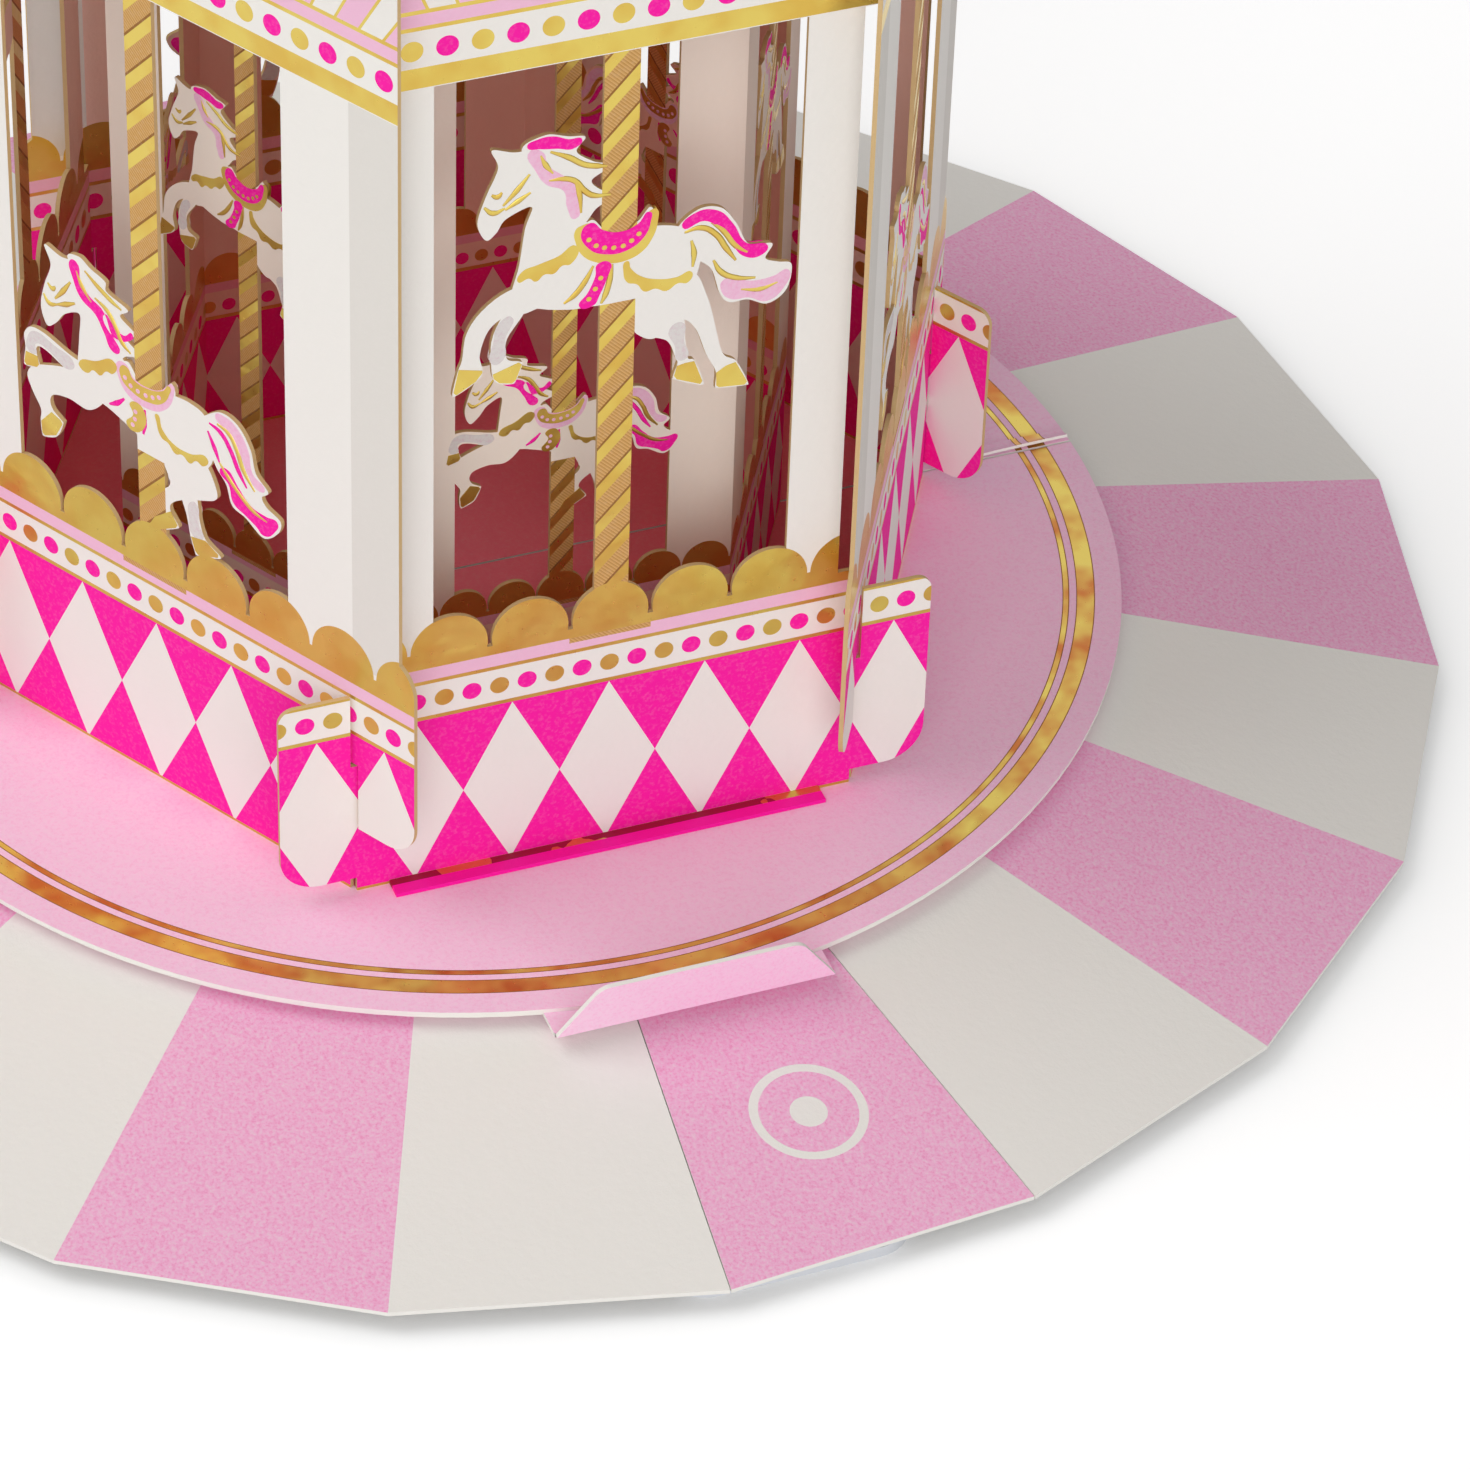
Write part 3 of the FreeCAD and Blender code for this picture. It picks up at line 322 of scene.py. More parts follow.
# Platform: two half discs of pink card over a liner disc, with two rings of hot-stamped gold foil.
# The lift tab is a flap of the liner, folded up at the front.
PLATFORM_PINK = "#FFD0EB"
FOIL_GOLD = "#DDC563"
INSIDE_SHADE_ROSE = "#FF8798"
FOIL_REFLECTION_DEEP = "#D6B252"
RING_REFLECTION_DEEP = "#C2733A"
FOIL_EDGE = "#94602C"
foil_roughness = 0.3
foil_metal = 0.85
foil_wave = 5.0
foil_grain = 0.5
foil_depth = 0.008
wave_share = 30.0
felt_in_foil = 0.52
reflection_from, reflection_to = 0.4, 0.68
inside_apothem = 43.5
platform_stipple = 0.18
ring_places = ((61.55, 0.25), (63.55, 0.85))
ring_edge = 0.1


def foil_over(tree, shader, spot, ink, foil, shade=FOIL_REFLECTION_DEEP):
    """Hot-stamped gold foil where the mask is 1: a metal skin with a fine grain and slow waves, its gold
    darkened along the waves as painted reflection.
    """
    waves = add_node(tree, "TexNoise", {"Vector": spot.outputs[0], "Scale": 1 / foil_wave, "Detail": 2.0})
    grain = add_node(tree, "TexNoise", {"Vector": spot.outputs[0], "Scale": 1 / foil_grain, "Detail": 1.0})
    # Along the slow waves the gold turns to a deeper tone: painted reflection of darker surroundings.
    reflection_share = add_node(tree, "MapRange", {"Value": waves.outputs[0], 1: reflection_from, 2: reflection_to})
    golds = add_node(tree, "Mix", {"Factor": reflection_share.outputs[0], 6: linear(FOIL_GOLD), 7: linear(shade)},
                     data_type="RGBA")
    colour = add_node(tree, "Mix", {"Factor": foil, 6: ink, 7: golds.outputs[2]}, data_type="RGBA")
    worn = add_node(tree, "MapRange", {"Value": grain.outputs[0], 3: foil_roughness - 0.06,
                                       4: foil_roughness + 0.06})
    gloss = add_node(tree, "Mix", {"Factor": foil, 2: card_roughness, 3: worn.outputs[0]})
    metal = add_node(tree, "Math", {0: foil, 1: foil_metal}, operation="MULTIPLY")
    relief = add_node(tree, "Math", {0: waves.outputs[0], 1: wave_share, 2: grain.outputs[0]},
                      operation="MULTIPLY_ADD")
    felt = shader.inputs["Normal"].links[0].from_socket
    pressed = add_node(tree, "Math", {0: foil, 1: -felt_in_foil, 2: felt_strength},
                       operation="MULTIPLY_ADD")
    tree.links.new(pressed.outputs[0], felt.node.inputs["Strength"])
    bump = add_node(tree, "Bump", {"Height": relief.outputs[0], "Strength": foil, "Distance": foil_depth * MM,
                                   "Normal": felt})
    tree.links.new(colour.outputs[2], shader.inputs["Base Color"])
    tree.links.new(metal.outputs[0], shader.inputs["Metallic"])
    tree.links.new(gloss.outputs[0], shader.inputs["Roughness"])
    tree.links.new(bump.outputs[0], shader.inputs["Normal"])


platform, tree, shader, spot, axes, normal = felt_card("pink_felt_card_with_foil_rings")
flat = add_node(tree, "CombineXYZ", {0: axes.outputs["X"], 1: axes.outputs["Y"]})
away = add_node(tree, "VectorMath", {0: flat.outputs[0]}, operation="LENGTH")
thin, wide = [add_node(tree, "Math", {0: away.outputs["Value"], 1: middle, 2: half}, operation="COMPARE")
              for middle, half in ring_places]
rings = add_node(tree, "Math", {0: thin.outputs[0], 1: wide.outputs[0]}, operation="MAXIMUM")
top_side = add_node(tree, "Math", {0: normal.outputs["Z"], 1: 0.5}, operation="GREATER_THAN")
foil = add_node(tree, "Math", {0: rings.outputs[0], 1: top_side.outputs[0]}, operation="MULTIPLY")
ink = stippled(tree, spot, PLATFORM_PINK, WHITE_CARD, platform_stipple)
reach = []
for k in range(3):
    across = (math.sin(math.radians(60 * k)), math.cos(math.radians(60 * k)), 0)
    side = add_node(tree, "VectorMath", {0: spot.outputs[0], 1: across}, operation="DOT_PRODUCT")
    reach.append(add_node(tree, "Math", {0: side.outputs["Value"]}, operation="ABSOLUTE").outputs[0])
farther = add_node(tree, "Math", {0: reach[0], 1: reach[1]}, operation="MAXIMUM")
farthest = add_node(tree, "Math", {0: farther.outputs[0], 1: reach[2]}, operation="MAXIMUM")
# Inside the pavilion the pink is a deeper rose: painted shade and red bounce light of the closed interior.
inside = add_node(tree, "Math", {0: farthest.outputs[0], 1: inside_apothem}, operation="LESS_THAN")
rose = stippled(tree, spot, INSIDE_SHADE_ROSE, WHITE_CARD, 0.1)
inks = add_node(tree, "Mix", {"Factor": inside.outputs[0], 6: ink, 7: rose}, data_type="RGBA")
card = add_node(tree, "Mix", {"Factor": top_side.outputs[0], 6: linear(WHITE_CARD), 7: inks.outputs[2]},
                data_type="RGBA")
pressed = [add_node(tree, "Math", {0: away.outputs["Value"], 1: middle, 2: half + ring_edge},
                    operation="COMPARE") for middle, half in ring_places]
rim = add_node(tree, "Math", {0: pressed[0].outputs[0], 1: pressed[1].outputs[0]}, operation="MAXIMUM")
rims = add_node(tree, "Math", {0: rim.outputs[0], 1: top_side.outputs[0]}, operation="MULTIPLY")
edged = add_node(tree, "Mix", {"Factor": rims.outputs[0], 6: card.outputs[2], 7: linear(FOIL_EDGE)},
                 data_type="RGBA")
# The rings' gold darkens to orange brown along the waves: painted reflection of the pink walls.
foil_over(tree, shader, spot, edged.outputs[2], foil.outputs[0], shade=RING_REFLECTION_DEEP)
dress(("platform_front", "platform_back"), platform)

tab_lean = math.radians(80)
for name, node, upright in (("pink_felt_card", "platform_liner", (0, 0, 1)),
                            ("pink_tab_card", "lift_tab", (0, math.sin(tab_lean), math.cos(tab_lean)))):
    pink_card, tree, shader, spot, axes, normal = felt_card(name)
    place = add_node(tree, "TexCoord", {})
    lie = add_node(tree, "VectorMath", {0: place.outputs["Normal"], 1: upright}, operation="DOT_PRODUCT")
    level = add_node(tree, "Math", {0: lie.outputs["Value"]}, operation="ABSOLUTE")
    face = add_node(tree, "Math", {0: level.outputs[0], 1: 0.7}, operation="GREATER_THAN")
    ink = stippled(tree, spot, PLATFORM_PINK, WHITE_CARD, platform_stipple)
    colour = add_node(tree, "Mix", {"Factor": face.outputs[0], 6: linear(WHITE_CARD), 7: ink},
                      data_type="RGBA")
    tree.links.new(colour.outputs[2], shader.inputs["Base Color"])
    dress((node,), pink_card)

# Crease of the lift tab: the card bends there in a small arc, slightly rippled by its perforation.


def plain_ink(name, colour, bare):
    """Litho ink on the felt card."""
    material, tree, shader, spot, axes, normal = felt_card(name)
    ink = stippled(tree, spot, colour, WHITE_CARD, bare)
    tree.links.new(ink, shader.inputs["Base Color"])
    return material


crease_half = 13.9
crease_cuts = 13
crease_back = -68.6
crease_level = 9.275
crease_run = 0.3
crease_bend = 0.357
crease_thickness = 0.43
ripple_pitch = 1.0
ripple_depth = 0.06
bend_start = crease_back - crease_run
bend_middle = crease_level + crease_bend
bpy.ops.mesh.primitive_plane_add(size=MM, location=(0, crease_back * MM, crease_level * MM),
                                 rotation=(math.pi / 2, 0, 0))
crease = bpy.context.object
crease.name = "lift_tab_crease"
crease.scale = (2 * crease_half, crease_thickness, 1)
bpy.ops.object.transform_apply(location=True, rotation=True, scale=True)
bpy.ops.object.mode_set(mode="EDIT")
for k in range(-crease_cuts, crease_cuts + 1):
    bpy.ops.mesh.select_all(action="SELECT")
    bpy.ops.mesh.bisect(plane_co=(k * ripple_pitch * MM, 0, 0), plane_no=(1, 0, 0))
bpy.ops.mesh.select_all(action="SELECT")
bpy.ops.mesh.extrude_region_move(TRANSFORM_OT_translate={"value": (0, -crease_run * MM, 0)})
bpy.ops.mesh.spin(steps=8, angle=-tab_lean, axis=(1, 0, 0), center=(0, bend_start * MM, bend_middle * MM))
bpy.ops.mesh.select_all(action="SELECT")
bpy.ops.mesh.remove_doubles(threshold=0.001 * MM)
bpy.ops.mesh.normals_make_consistent(inside=False)
bpy.ops.object.mode_set(mode="OBJECT")
for point in crease.data.vertices:
    if point.co.y < bend_start * MM:
        point.co.y -= ripple_depth * MM * (round(point.co.x / MM / ripple_pitch) % 2)
crease.data.materials.append(plain_ink("pink_crease_card", PLATFORM_PINK, platform_stipple))
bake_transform(crease)

# Seam lip: at the right end of the seam the back half of the platform laps over as a narrow strip.
# Its front edge has lifted a little and shows the white core of the card.
lip_length = 14.5
lip_width = 1.7
lip_lift = 0.45
lip_thickness = 0.3
lip_inset = 0.25
lip_gap = 0.01
lip_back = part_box("platform_back")[0][1] / MM + lip_width
lip_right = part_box("platform_back")[1][0] / MM - lip_inset
lip_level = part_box("platform_back")[1][2] / MM
bpy.ops.mesh.primitive_grid_add(x_subdivisions=14, y_subdivisions=6, size=MM,
                                location=((lip_right - lip_length / 2) * MM, (lip_back - lip_width / 2) * MM,
                                          lip_level * MM))
lip = bpy.context.object
lip.name = "platform_seam_lip"
lip.scale = (lip_length, lip_width, 1)
bpy.ops.object.transform_apply(location=True, rotation=True, scale=True)
for point in lip.data.vertices:
    forward = (lip_back - point.co.y / MM) / lip_width
    outward = 1 - (lip_right - point.co.x / MM) / lip_length
    point.co.z += (lip_gap + lip_lift * forward ** 2 * math.sin(outward * math.pi / 2)) * MM
thicken = lip.modifiers.new("card", "SOLIDIFY")
thicken.thickness = lip_thickness * MM
thicken.offset = 1.0
bpy.ops.object.modifier_apply(modifier=thicken.name)
lip.data.materials.append(platform)
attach(lip, "turntable")

# Walls: twelve die-cut cards, six outer ones slotted into a hexagon and six inner ones mitred behind.
# Both faces are printed hot pink with white diamonds, and stamped with gold foil lines, dots and scallops.
HOT_PINK = "#FF0CA8"
PALE_PINK = "#F4C1DC"
POLE_TAN = "#DFB373"
POLE_TAN_DARK = "#B98642"
STRIPE_EDGE = "#96662F"
CUT_EDGE = "#D3B481"
SLOT_SHADE = "#A00F3C"
INSIDE_PAINTED_SHADE = "#FFD8CF"
WING_SHADED_WHITE = "#E4E0D9"
WARM_BOUNCE_CARD = "#F8ECDF"
platform_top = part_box("platform_front")[1][2] / MM
wall_top = 110.0
card_thickness = 0.45
outer_apothem = 43.734
inner_apothem = 30.0
inner_side = 34.64
column_crease = 25.25
beyond = 200.0
lobe_overlap = 0.05
pole_overlap = 0.02
pad_reach = 1.2
stripe_slope = -1.1
gold_share = 0.38
stripe_edge_share = 0.08
fan_drop = 45.0
fan_ray = 0.031
fan_line = 0.0035
slot_depth = 0.9
hem_height = 0.3
hem_ragged, hem_sink = 0.12, -0.05
crumple_size = 7.0
torn_above = 0.54
paper_fibre = 0.35
fibre_show = 0.08


def printed_wall(name, turn, plan):
    """Print of one wall: u runs along it from its middle, and v runs up from the platform."""
    material, tree, shader, spot, axes, normal = felt_card(name, turn, platform_top)
    u = axes.outputs["X"]
    v = axes.outputs["Z"]
    height = add_node(tree, "Math", {0: v, 1: wall_top}, operation="DIVIDE").outputs[0]

    inks = add_node(tree, "ValToRGB", {"Fac": height})
    foils = add_node(tree, "ValToRGB", {"Fac": height})
    for ramp, stops in ((inks, plan["inks"]), (foils, plan["foils"])):
        ramp.color_ramp.interpolation = "CONSTANT"
        while len(ramp.color_ramp.elements) < len(stops):
            ramp.color_ramp.elements.new(1.0)
        for stop, (level, colour) in zip(ramp.color_ramp.elements, stops):
            stop.position = max(0.0, level / wall_top)
            stop.color = linear(colour)

    across = add_node(tree, "Math", {0: u, 1: plan["diamond"] / 2}, operation="PINGPONG")
    lean = add_node(tree, "Math", {0: across.outputs[0], 1: plan["ground"] / plan["diamond"]},
                    operation="MULTIPLY")
    upward = add_node(tree, "Math", {0: v, 1: plan["ground"] / 2}, operation="PINGPONG")
    diamond = add_node(tree, "Math", {0: lean.outputs[0], 1: upward.outputs[0]}, operation="LESS_THAN")
    low = add_node(tree, "Math", {0: v, 1: plan["ground"]}, operation="LESS_THAN")
    white = add_node(tree, "Math", {0: diamond.outputs[0], 1: low.outputs[0]}, operation="MULTIPLY")
    ink = add_node(tree, "Mix", {"Factor": white.outputs[0], 6: inks.outputs[0], 7: linear(WHITE_CARD)},
                   data_type="RGBA").outputs[2]
    foil = foils.outputs[0]

    for level, pitch, size in plan["dots"]:
        beside = add_node(tree, "Math", {0: u, 1: pitch / 2, 2: -pitch / 2}, operation="WRAP")
        above = add_node(tree, "Math", {0: v, 1: level}, operation="SUBTRACT")
        flat = add_node(tree, "CombineXYZ", {0: beside.outputs[0], 1: above.outputs[0]})
        away = add_node(tree, "VectorMath", {0: flat.outputs[0]}, operation="LENGTH")
        dot = add_node(tree, "Math", {0: away.outputs["Value"], 1: size / 2}, operation="LESS_THAN")
        turn_about = add_node(tree, "Math", {0: u, 1: pitch}, operation="PINGPONG")
        even = add_node(tree, "Math", {0: turn_about.outputs[0], 1: pitch / 2}, operation="LESS_THAN")
        gold_dot = add_node(tree, "Math", {0: dot.outputs[0], 1: even.outputs[0]}, operation="MULTIPLY")
        ink = add_node(tree, "Mix", {"Factor": dot.outputs[0], 6: ink, 7: linear(HOT_PINK)},
                       data_type="RGBA").outputs[2]
        foil = add_node(tree, "Math", {0: foil, 1: gold_dot.outputs[0]}, operation="MAXIMUM").outputs[0]

    pitch = plan["scallop_pitch"]
    beside = add_node(tree, "Math", {0: u, 1: pitch / 2, 2: -pitch / 2}, operation="WRAP")
    over = add_node(tree, "Math", {0: v, 1: plan["scallop_middle"]}, operation="SUBTRACT")
    above = add_node(tree, "Math", {0: over.outputs[0], 1: 0.0}, operation="MAXIMUM")
    flat = add_node(tree, "CombineXYZ", {0: beside.outputs[0], 1: above.outputs[0]})
    away = add_node(tree, "VectorMath", {0: flat.outputs[0]}, operation="LENGTH")
    lobe = add_node(tree, "Math", {0: away.outputs["Value"], 1: plan["scallop"] + lobe_overlap},
                    operation="LESS_THAN")
    under = add_node(tree, "Math", {0: over.outputs[0], 1: 0.0}, operation="LESS_THAN")
    joined = add_node(tree, "Math", {0: lobe.outputs[0], 1: under.outputs[0]}, operation="MAXIMUM")
    base = add_node(tree, "Math", {0: v, 1: plan["scallop_foot"]}, operation="GREATER_THAN")
    lobes = add_node(tree, "Math", {0: joined.outputs[0], 1: base.outputs[0]}, operation="MULTIPLY")

    pole_low, pole_high = plan["pole_span"]
    narrow = add_node(tree, "Math", {0: u, 1: 0.0, 2: plan["pole"] / 2 + pole_overlap}, operation="COMPARE")
    span = add_node(tree, "Math", {0: v, 1: (pole_low + pole_high) / 2, 2: (pole_high - pole_low) / 2},
                    operation="COMPARE")
    horse_middle, horse_half = plan["horse_span"]
    horse = add_node(tree, "Math", {0: v, 1: horse_middle, 2: horse_half}, operation="COMPARE")
    pole = add_node(tree, "Math", {0: narrow.outputs[0], 1: span.outputs[0]}, operation="MULTIPLY")
    shown = add_node(tree, "Math", {0: pole.outputs[0], 1: horse.outputs[0]}, operation="SUBTRACT",
                     use_clamp=True)
    hatch_line = add_node(tree, "Math", {0: u, 1: 1.0, 2: v}, operation="MULTIPLY_ADD")
    hatch_step = add_node(tree, "Math", {0: hatch_line.outputs[0], 1: plan["hatch"], 2: 0.0},
                          operation="WRAP")
    hatch = add_node(tree, "MapRange", {"Value": hatch_step.outputs[0], 1: 0.0, 2: plan["hatch"]})
    tans = add_node(tree, "Mix", {"Factor": hatch.outputs[0], 6: linear(POLE_TAN), 7: linear(POLE_TAN_DARK)},
                    data_type="RGBA")
    stripe_line = add_node(tree, "Math", {0: u, 1: stripe_slope, 2: v}, operation="MULTIPLY_ADD")
    stripe_step = add_node(tree, "Math", {0: stripe_line.outputs[0], 1: plan["stripe"], 2: 0.0},
                           operation="WRAP")
    stripe = add_node(tree, "Math", {0: stripe_step.outputs[0], 1: gold_share * plan["stripe"]},
                      operation="LESS_THAN")
    gold_stripe = add_node(tree, "Math", {0: stripe.outputs[0], 1: shown.outputs[0]}, operation="MULTIPLY")
    edge_half = stripe_edge_share / 2 * plan["stripe"]
    edge_middle = gold_share * plan["stripe"] + edge_half
    stripe_edge = add_node(tree, "Math", {0: stripe_step.outputs[0], 1: edge_middle, 2: edge_half},
                           operation="COMPARE")
    edged_tans = add_node(tree, "Mix", {"Factor": stripe_edge.outputs[0], 6: tans.outputs[2],
                                        7: linear(STRIPE_EDGE)}, data_type="RGBA")

    pad = add_node(tree, "Math", {0: u, 1: 0.0, 2: plan["pole"] * pad_reach}, operation="COMPARE")
    pad_low, pad_high = plan["pad_span"]
    pad_area = add_node(tree, "Math", {0: v, 1: (pad_low + pad_high) / 2, 2: (pad_high - pad_low) / 2},
                        operation="COMPARE")
    pole_pad = add_node(tree, "Math", {0: pad.outputs[0], 1: pad_area.outputs[0]}, operation="MULTIPLY")

    # Past the column crease an over wall's wing is a greyer white: painted shade of its slight bend.
    aside = add_node(tree, "Math", {0: u}, operation="ABSOLUTE")
    wing = add_node(tree, "Math", {0: aside.outputs[0], 1: plan["crease"]}, operation="GREATER_THAN")
    folded = add_node(tree, "Math", {0: wing.outputs[0], 1: span.outputs[0]}, operation="MULTIPLY")

    fan_low, fan_high = plan["fan_span"]
    fan_area = add_node(tree, "Math", {0: v, 1: (fan_low + fan_high) / 2, 2: (fan_high - fan_low) / 2},
                        operation="COMPARE")
    drop = add_node(tree, "Math", {0: v, 1: fan_low - fan_drop}, operation="SUBTRACT")
    slant = add_node(tree, "Math", {0: u, 1: drop.outputs[0]}, operation="DIVIDE")
    ray = add_node(tree, "Math", {0: slant.outputs[0], 1: 2 * fan_ray}, operation="PINGPONG")
    pale = add_node(tree, "Math", {0: ray.outputs[0], 1: fan_ray}, operation="GREATER_THAN")
    pale_ray = add_node(tree, "Math", {0: pale.outputs[0], 1: fan_area.outputs[0]}, operation="MULTIPLY")
    line = add_node(tree, "Math", {0: ray.outputs[0], 1: fan_ray, 2: fan_line}, operation="COMPARE")
    gold_line = add_node(tree, "Math", {0: line.outputs[0], 1: fan_area.outputs[0]}, operation="MULTIPLY")

    flat_on = add_node(tree, "Math", {0: normal.outputs["Y"]}, operation="ABSOLUTE")
    face = add_node(tree, "Math", {0: flat_on.outputs[0], 1: 0.8}, operation="GREATER_THAN")
    forward = add_node(tree, "Math", {0: axes.outputs["Y"], 1: -1.0, 2: -plan["front"]},
                       operation="MULTIPLY_ADD")
    foot = add_node(tree, "Math", {0: forward.outputs[0], 1: 0.02}, operation="GREATER_THAN")
    # Next to the wall the foot strip is a dark crimson band: painted shade of the slot it stands in.
    outer_foot = add_node(tree, "Math", {0: forward.outputs[0], 1: slot_depth}, operation="GREATER_THAN")
    feet = add_node(tree, "Mix", {"Factor": outer_foot.outputs[0], 6: linear(SLOT_SHADE),
                                  7: linear(HOT_PINK)}, data_type="RGBA")
    crumple = add_node(tree, "TexNoise", {"Vector": spot.outputs[0], "Scale": 1 / crumple_size,
                                          "Detail": 3.0})
    glint = add_node(tree, "Math", {0: crumple.outputs[0], 1: hem_ragged, 2: hem_sink},
                     operation="MULTIPLY_ADD")
    hem = add_node(tree, "Math", {0: v, 1: hem_height}, operation="SUBTRACT")
    hem_foil = add_node(tree, "Math", {0: hem.outputs[0], 1: glint.outputs[0]}, operation="LESS_THAN")
    for area in (lobes, gold_stripe, gold_line, hem_foil):
        foil = add_node(tree, "Math", {0: foil, 1: area.outputs[0]}, operation="MAXIMUM").outputs[0]
    foil = add_node(tree, "Math", {0: foil, 1: face.outputs[0]}, operation="MULTIPLY").outputs[0]
    foil = add_node(tree, "Math", {0: foil, 1: foot.outputs[0]}, operation="SUBTRACT",
                    use_clamp=True).outputs[0]
    slot = add_node(tree, "Math", {0: foot.outputs[0], 1: outer_foot.outputs[0]}, operation="SUBTRACT")
    torn = add_node(tree, "Math", {0: crumple.outputs[0], 1: torn_above}, operation="GREATER_THAN")
    torn_foil = add_node(tree, "Math", {0: slot.outputs[0], 1: torn.outputs[0]}, operation="MULTIPLY")
    foil = add_node(tree, "Math", {0: foil, 1: torn_foil.outputs[0]}, operation="MAXIMUM").outputs[0]
    fibres = add_node(tree, "TexNoise", {"Vector": spot.outputs[0], "Scale": 1 / paper_fibre, "Detail": 4.0})
    bare = add_node(tree, "MapRange", {"Value": fibres.outputs[0], 1: 0.48, 2: 0.8, 3: 0.0, 4: fibre_show})
    for area, colour in ((shown, edged_tans.outputs[2]), (pole_pad, tans.outputs[2]),
                         (folded, linear(WING_SHADED_WHITE)), (pale_ray, linear(PALE_PINK)),
                         (bare, linear(WHITE_CARD))):
        ink = add_node(tree, "Mix", {"Factor": area.outputs[0], 6: ink, 7: colour},
                       data_type="RGBA").outputs[2]
    # Inward faces between the column creases are multiplied by rose: painted shade and red bounce light of
    # the interior.
    inward = add_node(tree, "Math", {0: normal.outputs["Y"], 1: 0.0}, operation="GREATER_THAN")
    between = add_node(tree, "Math", {0: aside.outputs[0], 1: column_crease}, operation="LESS_THAN")
    painted_inner_shade = add_node(tree, "Math", {0: inward.outputs[0], 1: between.outputs[0]}, operation="MULTIPLY")
    ink = add_node(tree, "Mix", {"Factor": painted_inner_shade.outputs[0], 6: ink, 7: linear(INSIDE_PAINTED_SHADE)},
                   data_type="RGBA", blend_type="MULTIPLY").outputs[2]
    ink = add_node(tree, "Mix", {"Factor": face.outputs[0], 6: linear(CUT_EDGE), 7: ink},
                   data_type="RGBA").outputs[2]
    ink = add_node(tree, "Mix", {"Factor": foot.outputs[0], 6: ink, 7: feet.outputs[2]},
                   data_type="RGBA").outputs[2]
    foil_over(tree, shader, spot, ink, foil)
    return material


side_degrees = 60.0
BLACK = "#000000"
FULL = "#FFFFFF"
outer_plan = {
    "inks": ((0, HOT_PINK), (19.5, WHITE_CARD), (23.75, PALE_PINK), (25.5, WHITE_CARD), (97.2, PALE_PINK),
             (98.8, WHITE_CARD)),
    "foils": ((0, BLACK), (19.3, FULL), (19.7, BLACK), (23.6, FULL), (23.9, BLACK), (91.0, FULL),
              (93.2, BLACK), (96.9, FULL), (97.2, BLACK), (98.7, FULL), (99.1, BLACK), (108.6, FULL)),
    "diamond": 9.7, "ground": 19.3, "dots": ((21.65, 2.75, 1.9), (95.05, 3.27, 2.1)),
    "scallop_pitch": 8.0, "scallop": 3.8, "scallop_middle": 27.4, "scallop_foot": 25.5,
    "pole": 3.4, "pole_span": (28.0, 91.0), "hatch": 0.42, "stripe": 4.3, "fan_span": (99.1, 108.6),
    "pad_span": (24.9, 25.6), "front": outer_apothem + card_thickness / 2,
}
# The inner walls' white is a warm cream: painted warm bounce light of the interior.
inner_plan = {
    "inks": ((0, HOT_PINK), (14.2, WARM_BOUNCE_CARD), (17.4, PALE_PINK), (18.7, WARM_BOUNCE_CARD), (104.0, PALE_PINK),
             (105.4, WARM_BOUNCE_CARD)),
    "foils": ((0, BLACK), (14.0, FULL), (14.35, BLACK), (17.2, FULL), (17.5, BLACK), (102.0, FULL),
              (103.6, BLACK), (105.3, FULL), (105.6, BLACK), (109.0, FULL)),
    "diamond": 6.93, "ground": 14.0, "dots": ((15.8, 2.1, 1.45), (107.3, 2.4, 1.6)),
    "scallop_pitch": inner_side / 7, "scallop": 2.37, "scallop_middle": 19.8, "scallop_foot": 18.7,
    "pole": 2.4, "pole_span": (20.5, 102.0), "hatch": 0.36, "stripe": 3.2, "fan_span": (beyond, beyond + 1),
    "pad_span": (18.2, 18.8), "front": inner_apothem + card_thickness / 2, "crease": beyond,
}
high_saddle, low_saddle = 73.0, 48.7
inner_low_saddle, inner_high_saddle = 42.5, 64.0
inner_horse_size = 0.72
barrel_drop, barrel_half = 5.4, 3.9
horses = []
for k in range(6):
    over = k % 2 == 1
    saddle = low_saddle if over else high_saddle
    inner_saddle = inner_high_saddle if over else inner_low_saddle
    design, inner_design = ("leap", "gallop") if over else ("gallop", "leap")
    outer = dict(outer_plan, horse_span=(saddle - barrel_drop, barrel_half),
                 crease=column_crease if over else beyond)
    inner = dict(inner_plan, horse_span=(inner_saddle - barrel_drop * inner_horse_size,
                                         barrel_half * inner_horse_size))
    number = str(k + 1)
    dress(("wall_" + number,), printed_wall("printed_card_" + number, k * side_degrees, outer))
    dress(("inner_wall_" + number,), printed_wall("printed_inner_card_" + number, k * side_degrees, inner))
    horses.append(("horse_print_" + number, design, k * side_degrees, outer_apothem, saddle, 1.0))
    horses.append(("inner_horse_print_" + number, inner_design, k * side_degrees, inner_apothem, inner_saddle,
                   inner_horse_size))

